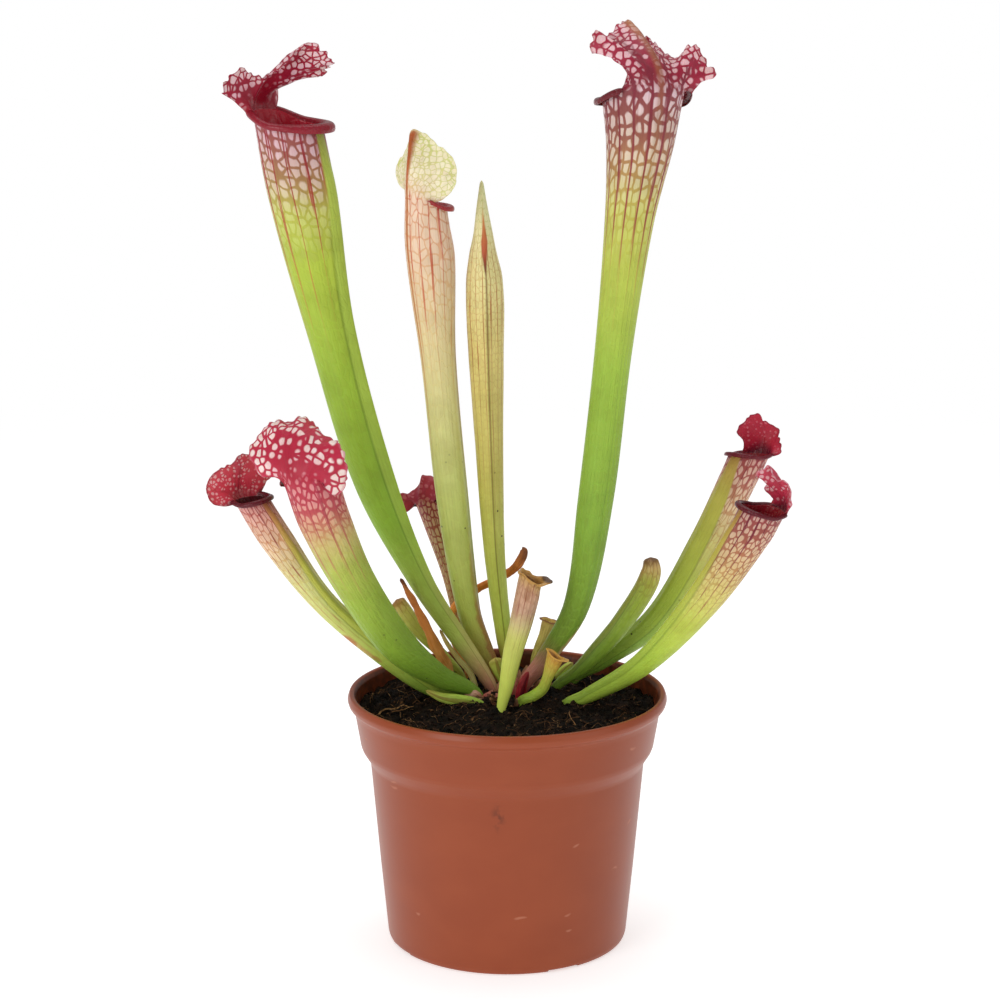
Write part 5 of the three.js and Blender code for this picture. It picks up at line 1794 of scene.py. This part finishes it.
BLADES = (
    Blade(
        "pitcher_unopened",
        front=(0.12, -0.99), wing=0.9, waves=(0, 0),
        stations=numbers(
            "2.5 36.5 83 1.4 1.5, 1 36 95 2.2 2.4, -1 36 106 3 3.2, -4.9 32 143 4.1 4.28, "
            "-7.1 28 191 5.53 5.42, -8.2 25 230 6.99 5.79, -8.6 24 249 6.95 5.48, -9.1 24 259 5.22 4.35, "
            "-9.1 24 266 3.76 3.37, -9.5 24 276 2.16 1.95, -9.6 24 286.5 0.55 0.54"
        ),
        finish=UNOPENED, crumple=0.1, crumple_size=7.0, cell=(1.5, 2.6),
    ),
    Blade(
        "leaf_cut_right",
        front=(-0.85, -0.5), wing=0.5, waves=(0, 0),
        stations=numbers(
            "14.5 20 84.5 1 1.2, 19.5 20 92.6 1.8 2.1, 28 20 99 2.6 3, 35.8 21 107 3.4 3.7, "
            "42.5 21 115 3.8 4, 52 22 129 4.1 4.2, 55.2 22 137 3.8 3.9, 55 22 142.8 2.6 2.6"
        ),
        finish=CUT_RIGHT,
    ),
    Blade(
        "leaf_small_left",
        front=(0.85, 0.5), wing=0.4, waves=(0, 0),
        stations=numbers(
            "-14.5 31 85 0.9 1, -18.2 31 94 1.1 1.3, -23.8 31 100.3 1.5 1.8, -34.7 31 111.6 2.3 2.8, "
            "-39 31 117.3 2.6 3.3, -43 31 123.8 2.3 3"
        ),
        finish=SMALL_LEFT,
    ),
    Blade(
        "leaf_dead_left",
        front=(0.5, -0.86), wing=0.3, waves=(5, 0.16),
        stations=numbers(
            "-18 26.6 85 0.9 0.9, -22.2 25.4 96.4 1.6 0.9, -25.6 23.4 103.4 2.5 1, -28.6 22 110 2 1, "
            "-35 20 124 1.5 0.9, -38.6 18.6 131 0.9 0.8, -40.3 18 134.6 1 0.9, -40.9 18 135.8 0.7 0.7"
        ),
        finish=DEAD_LEAF, crumple=0.32, crumple_size=3.2,
    ),
    Blade(
        "stalk_dead_back",
        front=(0, -1), wing=0, waves=(4, 0.1),
        stations=numbers(
            "-13.5 35 84 1 1, -16.4 37 95.4 1.2 1.2, -21 40 105 1.3 1.3, -22.6 41 113 1.5 1.5, "
            "-20 41.5 118.5 1.7 1.5, -12.2 41.4 125 1.6 1.4, 1.6 40 133 1.6 1.4, 4.6 39 136.4 1.9 1.5, "
            "6 38 139.6 2 1.6, 6.6 38 142 1.5 1.3, 6 38 143.2 0.8 0.8"
        ),
        finish=DEAD_STALK, crumple=0.3, crumple_size=2.6,
    ),
    Blade(
        "sheath_dried_left",
        front=(0.8, -0.6), wing=0, waves=(3, 0.12),
        stations=numbers(
            "-10.7 21 85 0.7 1, -14 21.9 96.4 0.8 1.6, -19 22.9 102.4 0.8 1.5, -23.4 23.9 108.6 0.7 1.1, "
            "-26 24.9 113.4 0.5 0.6"
        ),
        finish=SHEATH, crumple=0.15, crumple_size=3.0,
    ),
    Blade(
        "leaf_folded_light",
        front=(0.4, -0.92), wing=0.3, waves=(0, 0),
        stations=numbers(
            "-1 21.5 86 0.9 0.9, -2 21.6 93.4 1.4 1.1, -3.4 21 98 2.2 0.9, -4.4 20.6 101.6 2.8 0.8, "
            "-4.7 20.4 103.4 2.4 0.7"
        ),
        finish=FRESH,
    ),
    Blade(
        "leaf_stub_left",
        front=(0.2, -0.98), wing=0, waves=(0, 0),
        stations=numbers(
            "-6 4.5 85.5 1.1 1.1, -11 3.8 89.9 1.8 1.3, -18 3 91.4 2.3 1.4, -25 3.4 92.6 1.9 1.2, "
            "-31 4.4 95 0.7 0.6"
        ),
        finish=FRESH,
    ),
    Blade(
        "leaf_stub_right",
        front=(-0.6, -0.8), wing=0.3, waves=(0, 0),
        stations=numbers("17.5 37 85 1 1, 20 37.4 91 1.6 1.4, 23 38.2 94 1.8 1.5, 26 39.4 96 1.1 1"),
        finish=FRESH,
    ),
    Blade(
        "bud_red",
        front=(0.3, -0.95), wing=0.2, waves=(0, 0),
        stations=numbers("4.4 6.5 85.5 1.1 1.1, 5 5.8 93 1.9 1.7, 6.2 5 98 1.7 1.6, 8 4.2 102.6 0.7 0.7"),
        finish=BUD,
    ),
)


# ---- crown
@dataclass
class Crown:
    """The rootstock's top in the peat, with the dead scales and flakes of old leaf bases round it.

    Attributes:
        middle: of the rootstock's body.
        half: its half sizes.
        scales: how many dead scales stand round it.
        scale_length: length of a scale.
        scale_width: half its width.
        foot: height that the scales grow from.
        seed: starts the scales' stream of numbers.
    """

    middle: Row = (1, 19, 83)
    half: Row = (15.5, 25.5, 8.6)
    scales: int = 26
    scale_length: float = 9.0
    scale_width: float = 2.3
    foot: float = 87.5
    seed: int = 7

    def body(self) -> Piece:
        """Makes the rootstock's body: an ellipsoid whose radius waves round it and is roughened by noise.

        Returns:
            The new object.
        """
        height = np.linspace(-0.999, 0.999, 50)[:, None]
        angle = np.linspace(0, TAU, 97)[None]
        lump = 1 + 0.07 * np.sin(3 * angle + 5 * height) + 0.05 * np.sin(7 * angle - 3 * height)
        wide = np.sqrt(1 - height**2)
        x = self.middle[0] + self.half[0] * lump * wide * np.cos(angle)
        y = self.middle[1] + self.half[1] * lump * wide * np.sin(angle)
        z = np.broadcast_to(self.middle[2] + self.half[2] * height, x.shape)
        rows = np.stack([x, y, z], axis=-1)
        out = unit(rows - np.array(self.middle))
        rows = rows + out * (0.5 * layered_noise(rows, 3.0, 3, 5))[..., None]
        rows[:, -1] = rows[:, 0]
        way = spread(angle[0] / TAU, (height[:, 0] + 1) / 2)
        return closed_tube("rootstock_body", rows, {"way": way})

    def scale(self, number: int, random: Random) -> Piece:
        """Makes one dead scale: a flat blade that leans outwards, curls at its tip and is dented by noise.

        Args:
            number: which scale it is, from 0.
            random: the stream of numbers.

        Returns:
            The new object.
        """
        angle = TAU * (number + random.uniform(0, 0.8)) / self.scales * GOLDEN_ANGLE
        out = np.array([math.cos(angle), math.sin(angle), 0.0])
        reach = random.uniform(0.25, 0.8)
        lean = random.uniform(0.35, 1.2)
        length = self.scale_length * random.uniform(0.45, 1.05)
        base = np.array(self.middle) + out * self.half * reach
        wide = self.scale_width * random.uniform(0.5, 1.0)
        curl = random.uniform(-0.5, 0.6)
        stations = []
        for share in (0.0, 0.35, 0.7, 1.0):
            run = lean * length * share + curl * share**2 * 2.5
            grow = wide * (1 - 0.75 * share**2)
            z = self.foot + length * share - 0.9 * lean * share**2
            stations.append((base[0] + out[0] * run, base[1] + out[1] * run, z, grow, mix(0.9, 0.3, share)))
        name, facing = f"crown_scale_{number + 1:02d}", (out[0], out[1])
        return Blade(name, facing, 0, (2, 0.1), stations, CROWN, 0.3, 2.0, sides=20, rows=26).build()

    def place(self) -> None:
        """Builds the body and its scales, joined into one piece."""
        random = np.random.default_rng(self.seed)
        body = self.body()
        parts = [body, *(self.scale(number, random) for number in range(self.scales))]
        with bpy.context.temp_override(active_object=body, selected_editable_objects=parts, object=body):
            bpy.ops.object.join()
        body.name = "rootstock_crown"
        finish_piece(body, CROWN.dress(), Slot.ROOTSTOCK, "rootstock")
        for number, (finish, stations) in enumerate(FLAKES):
            name = f"leaf_base_dead_{number + 1:02d}"
            flake = Blade(name, (0, -1), 0, (2, 0.15), stations, finish, 0.35, 1.6, sides=32, rows=50)
            finish_piece(flake.build(), finish.dress(), finish.slot)


# ---- peat
@dataclass
class Peat:
    """The peat: a rough closed body, with crumbs, fibres, roots and chips on it.

    Attributes:
        radius: of its top, where it meets the pot.
        walls: radius and height of its sides, from the pot's floor up.
        mound: height of the rise round the plant, with its place and its spread.
        lump: height of the waves in its top.
        crumbs: how many lumps lie on it.
        fibres: how many thin fibres lie on it.
        chips: how many bits of bark lie on it.
        roots: for each root and twig its x, y, heading, length, rise and radius.
        seed: starts its streams of numbers.
    """

    radius: float = 56.4
    walls: Sequence[Row] = ((43.95, 4.95), (50.1, 69.8), (53.3, 75.6), (55.6, 86.5))
    mound: float = 1.6
    mound_at: Row = (2, 12)
    mound_spread: float = 30.0
    lump: float = 0.75
    crumbs: int = 3600
    fibres: int = 190
    chips: int = 230
    roots: Sequence[Row] = (
        (-49.6, -10.6, 0.5, 17.0, 0.8, 0.42),
        (-46.0, -6.0, 0.1, 12.0, 1.4, 0.26),
        (24.0, -25.0, 1.35, 9.0, 3.2, 0.24),
        (-14.0, -53.0, 0.1, 12.0, 0.6, 0.3),
        (43.0, 30.0, 0.6, 10.0, 6.0, 0.36),
    )
    seed: int = 19

    def height(self, x: Array, y: Array) -> Array:
        """Height of the top: a low mound with lumps from crossed waves, roughened by layered noise.

        Args:
            x: places across.
            y: places away from the eye.

        Returns:
            The height at each.
        """
        away = np.hypot(x - self.mound_at[0], y - self.mound_at[1]) / self.mound_spread
        mound = self.mound * np.exp(-(away**2))
        waves = np.sin(x * 0.41 + 1.3) * np.cos(y * 0.37 - 0.6) + 0.6 * np.sin(x * 0.83 - y * 0.71)
        flat = np.stack([x, y, np.zeros_like(x)], axis=-1)
        rough = 0.75 * layered_noise(flat, 4.2, 4, self.seed)
        return SOIL_LEVEL + mound + self.lump * waves + rough

    def body(self) -> Piece:
        """Makes the peat's body: rings up its sides, then rings in towards the middle of its top.

        Returns:
            The new object.
        """
        angle = np.linspace(0, TAU, 361)
        wall = np.array(self.walls)
        radius = np.concatenate([wall[:, 0], np.linspace(self.radius, 0.4, 120)])[:, None]
        x = radius * np.cos(angle)
        y = radius * np.sin(angle)
        z = self.height(x, y)
        z[: len(wall)] = wall[:, 1:]
        rows = np.stack([x, y, z], axis=-1)
        rows[:, -1] = rows[:, 0]
        way = spread(angle / TAU, np.linspace(0, 1, len(rows)))
        return closed_tube("peat_body", rows, {"way": way})

    def spread_places(self, random: Random, count: int, edge: float) -> tuple[Array, Array]:
        """Even random places on the top.

        Args:
            random: the stream of numbers.
            count: how many.
            edge: the farthest that they lie from the middle.

        Returns:
            Their x and their y.
        """
        radius = edge * np.sqrt(random.uniform(0, 1, count))
        angle = random.uniform(0, TAU, count)
        return radius * np.cos(angle), radius * np.sin(angle)

    def crumb_cloud(self, random: Random) -> Piece:
        """Makes the crumbs: twenty-sided lumps, each stretched, turned and dented at random.

        Args:
            random: the stream of numbers.

        Returns:
            The new object.
        """
        corners, sides = icosahedron()
        x, y = self.spread_places(random, self.crumbs, self.radius - 0.8)
        size = 0.28 + 0.95 * random.beta(1.3, 5.0, self.crumbs)
        stretch = random.uniform(0.6, 1.35, (self.crumbs, 1, 3)) * [1, 1, 0.75]
        dents = random.uniform(0.68, 1.25, (self.crumbs, 12, 1))
        turned = np.einsum("nij,nkj->nki", random_turns(random, self.crumbs), corners[None] * stretch * dents)
        z = self.height(x, y) + size * random.uniform(0.0, 0.55, self.crumbs)
        points = turned * size[:, None, None] + np.stack([x, y, z], axis=-1)[:, None]
        return self.lumps("peat_crumbs", points, sides)

    def chip_cloud(self, random: Random) -> Piece:
        """Makes the bark chips: lumps stretched long and flat, tilted a little and spun at random.

        Args:
            random: the stream of numbers.

        Returns:
            The new object.
        """
        corners, sides = icosahedron()
        count = self.chips
        x, y = self.spread_places(random, count, self.radius - 2.0)
        length = random.uniform(0.9, 2.6, count)
        wide = length * random.uniform(0.3, 0.6, count)
        shape = np.stack([length, wide, random.uniform(0.22, 0.45, count)], axis=-1)
        dents = random.uniform(0.75, 1.2, (count, 12, 1))
        spin = random.uniform(0, TAU, count)
        tilt = random.uniform(-0.6, 0.6, count)
        local = corners[None] * shape[:, None] * dents
        a = local[..., 0] * np.cos(tilt)[:, None] - local[..., 2] * np.sin(tilt)[:, None]
        up = local[..., 0] * np.sin(tilt)[:, None] + local[..., 2] * np.cos(tilt)[:, None]
        east = a * np.cos(spin)[:, None] - local[..., 1] * np.sin(spin)[:, None]
        north = a * np.sin(spin)[:, None] + local[..., 1] * np.cos(spin)[:, None]
        at = np.stack([x, y, self.height(x, y) + 0.45], axis=-1)[:, None]
        points = np.stack([east, north, up], axis=-1) + at
        return self.lumps("peat_chips", points, sides)

    def lumps(self, name: str, points: Array, sides: Array) -> Piece:
        """Makes one piece of many lumps, each with its own twelve corners and the same faces."""
        faces = sides[None] + 12 * np.arange(len(points))[:, None, None]
        return make_piece(name, points.reshape(-1, 3), faces.reshape(-1, 3), soft=False)

    def fibre_cloud(self, random: Random) -> Piece:
        """Makes the fibres: thin tubes along short random bends that lie on the peat or stick out of it.

        Args:
            random: the stream of numbers.

        Returns:
            The new object.
        """
        count, steps, sides = self.fibres, 12, 5
        x, y = self.spread_places(random, count, self.radius - 4.0)
        heading = random.uniform(0, TAU, count)
        bend = random.uniform(-2.4, 2.4, count)
        length = random.uniform(3.0, 13.0, count)
        share = np.linspace(0, 1, steps)
        sway = 0.5 * np.sin(9 * share[None] + heading[:, None])
        way = heading[:, None] + bend[:, None] * share[None] + sway
        east = x[:, None] + np.cumsum(np.cos(way), axis=1) * length[:, None] / steps
        north = y[:, None] + np.cumsum(np.sin(way), axis=1) * length[:, None] / steps
        far = np.maximum(1, np.hypot(east, north) / (self.radius - 0.6))
        east, north = east / far, north / far
        hop = random.uniform(0.2, 1.6, count)[:, None] * np.sin(math.pi * share)[None]
        rise = random.uniform(0, 1, count)[:, None] ** 4 * 4.0 * share[None] ** 2
        path = np.stack([east, north, self.height(east, north) + 0.15 + hop + rise], axis=-1)
        radius = random.uniform(0.07, 0.2, count)[:, None] * (1 - 0.6 * share[None])
        return self.tubes("peat_fibres", path, radius, sides)

    def tubes(self, name: str, path: Array, radius: Array, sides: int) -> Piece:
        """Makes a closed thin tube along each of many paths.

        Args:
            name: the piece's name.
            path: places along each path.
            radius: the tube's radius at each.
            sides: sides of its section.

        Returns:
            The new object.
        """
        count, steps = path.shape[:2]
        along = unit(np.gradient(path, axis=1))
        level = unit(np.cross(along, [0.03, 0.02, 1.0]))
        upright = np.cross(level, along)
        angle = np.linspace(0, TAU, sides, endpoint=False)
        ring = level[:, :, None] * np.cos(angle)[:, None] + upright[:, :, None] * np.sin(angle)[:, None]
        points = path[:, :, None] + ring * radius[:, :, None, None]
        quads = bands(steps, sides)[:, ::-1]
        ends = np.arange(1, sides - 1)
        last = (steps - 1) * sides
        first, spare = np.zeros_like(ends), np.full_like(ends, -1)
        first_caps = np.stack([first, ends, ends + 1, spare], axis=1)
        last_caps = np.stack([first + last, last + ends + 1, last + ends, spare], axis=1)
        one = np.concatenate([quads, first_caps, last_caps])
        shift = (steps * sides * np.arange(count))[:, None, None]
        faces = np.where(one[None] < 0, -1, one[None] + shift).reshape(-1, 4)
        flat = points.reshape(-1, 3)
        if not turned_outwards(flat, faces):
            faces = turned_round(faces, faces[:, 3] < 0)
        return make_piece(name, flat, faces)

    def root_cloud(self, random: Random) -> Piece:
        """Makes the tan roots and the twig: thin tubes along paths that wind and rise towards their ends.

        Args:
            random: the stream of numbers.

        Returns:
            The new object.
        """
        steps = 20
        share = np.linspace(0, 1, steps)
        paths = []
        for x, y, heading, length, rise, _ in self.roots:
            way = heading + 0.7 * np.sin(5 * share + x) + random.uniform(-0.4, 0.4) * share
            east = x + np.cumsum(np.cos(way)) * length / steps
            north = y + np.cumsum(np.sin(way)) * length / steps
            z = self.height(east, north) + 0.4 + rise * share**2
            paths.append(np.stack([east, north, z], axis=-1))
        radius = np.array(self.roots)[:, -1:] * (1 - 0.55 * share[None])
        return self.tubes("peat_roots", np.array(paths), radius, 8)

    def place(self) -> None:
        """Builds the peat's pieces and dresses them."""
        random = np.random.default_rng(self.seed)
        earth = PeatFinish("peat", "0e0906", "291b12", "5a3f2a", 0.06)
        finish_piece(self.body(), earth.dress(), Slot.SOIL, "soil")
        for build, finish in (
            (self.crumb_cloud, PeatFinish("peat_lumps", "110a07", "2e1f14", "6a4a30", 0.07)),
            (self.chip_cloud, PeatFinish("bark", "1a100a", "432c1c", "86603c", 0.16)),
            (self.fibre_cloud, PeatFinish("fibre", "4a3222", "84603e", "b89468", 0.25)),
            (self.root_cloud, PeatFinish("root", "8a6440", "b08a5c", "cfae80", 0.2)),
        ):
            finish_piece(build(random), finish.dress(), Slot.SOIL)


def icosahedron() -> tuple[Array, Array]:
    """The solid of twenty triangles, whose corners are the golden rectangles' corners.

    Returns:
        Its twelve corners, at distance 1, and its faces.
    """
    golden = (1 + math.sqrt(5)) / 2
    corners = []
    for a in (-1, 1):
        for b in (-golden, golden):
            corners += [(0, a, b), (a, b, 0), (b, 0, a)]
    points = unit(np.array(corners, float))
    gaps = np.linalg.norm(points[:, None] - points[None], axis=-1)
    touching = (gaps > 0.1) & (gaps < 1.2)
    faces = []
    for i in range(12):
        for j in range(i + 1, 12):
            for k in range(j + 1, 12):
                if touching[i, j] and touching[j, k] and touching[i, k]:
                    normal = np.cross(points[j] - points[i], points[k] - points[i])
                    faces.append((i, j, k) if normal @ points[i] > 0 else (i, k, j))
    return points, np.array(faces)


def random_turns(random: Random, count: int) -> Array:
    """Random turning matrices, from random quaternions brought to length 1.

    Args:
        random: the stream of numbers.
        count: how many.

    Returns:
        One matrix of three rows for each.
    """
    w, x, y, z = unit(random.normal(size=(count, 4))).T
    rows = [
        [1 - 2 * (y * y + z * z), 2 * (x * y - z * w), 2 * (x * z + y * w)],
        [2 * (x * y + z * w), 1 - 2 * (x * x + z * z), 2 * (y * z - x * w)],
        [2 * (x * z - y * w), 2 * (y * z + x * w), 1 - 2 * (x * x + y * y)],
    ]
    return np.moveaxis(np.array(rows), 2, 0)


# ---- pot
@dataclass
class Pot:
    """The round nursery pot, turned from its profile, with drain holes and slots in its foot ring.

    Attributes:
        outside: radius and height from the foot up to the rim.
        inside: radius and height from the rim down to the floor.
        foot: radius and height of the floor's underside, from the middle out to the foot ring.
        floor: height of the floor's upper side.
        rounding: length over which the profile's corners are rounded.
        segments: flat sides of the turned form.
        drain_holes: how many there are, with their radius, and the radius of the circle they lie on.
        drain_cut: height from which and to which they are cut.
        drain_sides: flat sides of a hole.
        notches: how many slots the foot ring has, with their width, height and turn round the axis.
        notch_reach: nearest and farthest distance from the axis to which they are cut.
        notch_from: height from which they are cut.
    """

    outside: Sequence[Row] = numbers(
        "43.6 0, 45.1 0.6, 45.7 2.2, 48.4 30, 51.9 69.8, 52.5 71.2, 54.9 75, 55.5 76.6, 57.6 89, 58.2 91, "
        "59.9 92.4, 60.4 94.2, 59.6 96.5"
    )
    inside: Sequence[Row] = numbers("58.2 96.5, 57.1 94.8, 56.2 88, 53.8 75.6, 50.6 69.8, 44.4 4.6")
    foot: Sequence[Row] = numbers("0.05 0, 5 0, 5 2.4, 40.2 2.4, 41.8 0")
    floor: float = 4.6
    rounding: float = 0.55
    segments: int = 288
    drain_holes: int = 6
    drain_radius: float = 3.5
    drain_circle: float = 30.0
    drain_cut: Row = (-2.0, 9.0)
    drain_sides: int = 40
    notches: int = 4
    notch_width: float = 13.0
    notch_height: float = 1.2
    notch_turn: float = 0.31
    notch_reach: Row = (37.0, 50.0)
    notch_from: float = -3.0

    def profile(self) -> Array:
        """The profile, with each corner replaced by four points of a small quadratic curve.

        Returns:
            Radius and height at each point.
        """
        corners = np.array([*self.foot, *self.outside, *self.inside, (0.05, self.floor)], float)
        points = [corners[0]]
        for before, here, after in zip(corners[:-2], corners[1:-1], corners[2:]):
            back = min(self.rounding, 0.4 * float(np.linalg.norm(before - here)))
            ahead = min(self.rounding, 0.4 * float(np.linalg.norm(after - here)))
            start = here + unit(before - here) * back
            end = here + unit(after - here) * ahead
            for share in (0.0, 0.33, 0.67, 1.0):
                points.append(start * (1 - share) ** 2 + here * 2 * share * (1 - share) + end * share**2)
        points.append(corners[-1])
        return np.array(points)

    def body(self) -> Piece:
        """Turns the profile round the axis, then cuts the drain holes and the foot's slots.

        Returns:
            The new object.
        """
        profile = self.profile()
        angle = np.linspace(0, TAU, self.segments + 1)
        x = profile[:, :1] * np.cos(angle)
        y = profile[:, :1] * np.sin(angle)
        rows = np.stack([x, y, np.broadcast_to(profile[:, 1:], x.shape)], axis=-1)
        rows[:, -1] = rows[:, 0]
        way = spread(angle / TAU, np.linspace(0, 1, len(rows)))
        pot = closed_tube("nursery_pot", rows, {"way": way})
        cutters = self.cutters()
        cut = pot.modifiers.new("cut", "BOOLEAN")
        cut.operation = "DIFFERENCE"
        cut.solver = "EXACT"
        cut.object = cutters
        evaluated = pot.evaluated_get(bpy.context.evaluated_depsgraph_get())
        mesh = bpy.data.meshes.new_from_object(evaluated)
        pot.modifiers.clear()
        pot.data = mesh
        bpy.data.objects.remove(cutters)
        return pot

    def cutters(self) -> Piece:
        """Makes the drain holes' cylinders and the slots' boxes, all upright prisms, as one mesh.

        Returns:
            The new object.
        """
        solids = []
        angle = np.linspace(0, TAU, self.drain_sides, endpoint=False)
        circle = self.drain_radius * np.stack([np.cos(angle), np.sin(angle)], axis=-1)
        for number in range(self.drain_holes):
            turn = TAU * (number + 0.5) / self.drain_holes
            middle = np.array([self.drain_circle * math.cos(turn), self.drain_circle * math.sin(turn)])
            solids.append(prism(middle + circle, *self.drain_cut))
        near, far = self.notch_reach
        for number in range(self.notches):
            turn = TAU * (number + self.notch_turn) / self.notches
            out = np.array([math.cos(turn), math.sin(turn)])
            side = np.array([-out[1], out[0]]) * self.notch_width / 2
            outline = np.array([out * near - side, out * far - side, out * far + side, out * near + side])
            solids.append(prism(outline, self.notch_from, self.notch_height))
        faces = []
        start = 0
        for solid in solids:
            count = len(solid) // 2
            ring = np.arange(count)
            after = (ring + 1) % count
            walls = np.stack([ring, after, after + count, ring + count], axis=1)
            fan = np.arange(1, count - 1)
            first, spare = np.zeros_like(fan), np.full_like(fan, -1)
            low = np.stack([first, fan + 1, fan, spare], axis=1)
            high = np.stack([first + count, count + fan, count + fan + 1, spare], axis=1)
            block = np.concatenate([walls, low, high])
            faces.append(np.where(block < 0, -1, block + start))
            start += len(solid)
        return make_piece("cutters", np.concatenate(solids), np.concatenate(faces), soft=False)

    def place(self) -> None:
        """Builds the pot and dresses it."""
        plastic = PotFinish("terracotta_plastic", "8c3f20", "914323", "2a1510")
        finish_piece(self.body(), plastic.dress(), Slot.POT, "pot")


def prism(outline: Array, low: float, high: float) -> Array:
    """The corners of an upright prism: its outline at the low height, then at the high one.

    Args:
        outline: x and y of its corners.
        low: its foot's height.
        high: its top's height.

    Returns:
        x, y and z of its corners.
    """
    bottom = np.column_stack([outline, np.full(len(outline), low)])
    top = np.column_stack([outline, np.full(len(outline), high)])
    return np.concatenate([bottom, top])


# ---- studio
@dataclass(frozen=True)
class SoftBox:
    """A soft rectangular light: where it hangs and aims and its size, in metres, and its power in watts."""

    name: str
    at: Row
    aim: Row
    size: Row
    power: float


@dataclass
class Studio:
    """White sweep, soft lights and the camera at the photograph's viewing angle."""

    eye: Row = (-2.75, -925.0, 368.0)
    target: Row = (-2.75, 0.0, 170.0)
    lens: float = 91.44
    sensor: float = 36.0
    boxes: Sequence[SoftBox] = (
        SoftBox("left_box", (-1.15, -1.4, 0.62), (0, 0, 0.12), (0.9, 1.1), 14),
        SoftBox("right_box", (1.5, -1.0, 0.62), (0, 0, 0.12), (1.2, 1.1), 4.8),
        SoftBox("top_box", (0, 0.4, 1.7), (0, 0, 0.1), (1.4, 1.2), 9),
    )

    def camera(self) -> None:
        """Places the camera at the eye, looking at the target."""
        data = bpy.data.cameras.new("eye")
        data.lens = self.lens
        data.sensor_width = self.sensor
        data.clip_start = 0.05
        data.clip_end = 60
        camera = bpy.data.objects.new("eye", data)
        bpy.context.scene.collection.objects.link(camera)
        drop = math.atan2(self.eye[2] - self.target[2], self.target[1] - self.eye[1])
        camera.location = [v * MM for v in self.eye]
        camera.rotation_euler = (math.pi / 2 - drop, 0, 0)
        bpy.context.scene.camera = camera

    def light(self, box: SoftBox) -> None:
        """Hangs one of the lights and turns it to its aim.

        Args:
            box: the light.
        """
        data = bpy.data.lights.new(box.name, "AREA")
        data.shape = "RECTANGLE"
        data.size, data.size_y = box.size
        data.energy = box.power
        lamp = bpy.data.objects.new(box.name, data)
        bpy.context.scene.collection.objects.link(lamp)
        out = np.array(box.at) - np.array(box.aim)
        lamp.location = box.at
        tilt = math.atan2(math.hypot(out[0], out[1]), out[2])
        lamp.rotation_euler = (tilt, 0, math.atan2(out[1], out[0]) + math.pi / 2)

    def floor(self) -> None:
        """Lays the floor, which glows softly so that it stays white and takes only a light shadow."""
        size = 30.0
        corners = [(-size, -size, 0), (size, -size, 0), (size, size, 0), (-size, size, 0)]
        mesh = bpy.data.meshes.new("floor")
        mesh.from_pydata(corners, [], [(0, 1, 2, 3)])
        floor = bpy.data.objects.new("floor", mesh)
        bpy.context.scene.collection.objects.link(floor)
        g = Graph("white_sweep")
        x, y, _ = g.split(g.place())
        away = g.math("SQRT", g.plus(g.times(x, x), g.times(y, y)))
        far = g.smooth(away, 0.25, 1.2)
        g.set("Base Color", g.blend(far, "e6e6e6", "000000"))
        g.set("Roughness", 0.7)
        g.set("Specular IOR Level", 0.0)
        g.set("Emission Color", (1.0, 1.0, 1.0, 1.0))
        g.set("Emission Strength", g.blend_value(far, 0.55, 1.0))
        mesh.materials.append(g.material)

    def world(self) -> None:
        """Surrounds the scene with plain white."""
        world = bpy.data.worlds.new("white")
        world.use_nodes = True
        background = world.node_tree.nodes["Background"]
        background.inputs[0].default_value = (1.0, 1.0, 1.0, 1.0)
        path = world.node_tree.nodes.new("ShaderNodeLightPath")
        strength = world.node_tree.nodes.new("ShaderNodeMapRange")
        strength.inputs["To Min"].default_value = 0.46
        strength.inputs["To Max"].default_value = 1.0
        world.node_tree.links.new(path.outputs["Is Camera Ray"], strength.inputs["Value"])
        world.node_tree.links.new(strength.outputs[0], background.inputs[1])
        bpy.context.scene.world = world

    def place(self) -> None:
        """Sets up the camera, lights, floor and world."""
        self.camera()
        for box in self.boxes:
            self.light(box)
        self.floor()
        self.world()
        bpy.context.scene.view_settings.view_transform = "Standard"


def main() -> None:
    """Builds the studio and the plant's pieces in order."""
    logging.basicConfig(level=logging.INFO, format="%(name)s %(message)s")
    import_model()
    Studio().place()
    Pot().place()
    Peat().place()
    Crown().place()
    for blade in BLADES:
        blade.place()
    for pitcher in PITCHERS:
        pitcher.place()


if __name__ == "__main__":
    main()
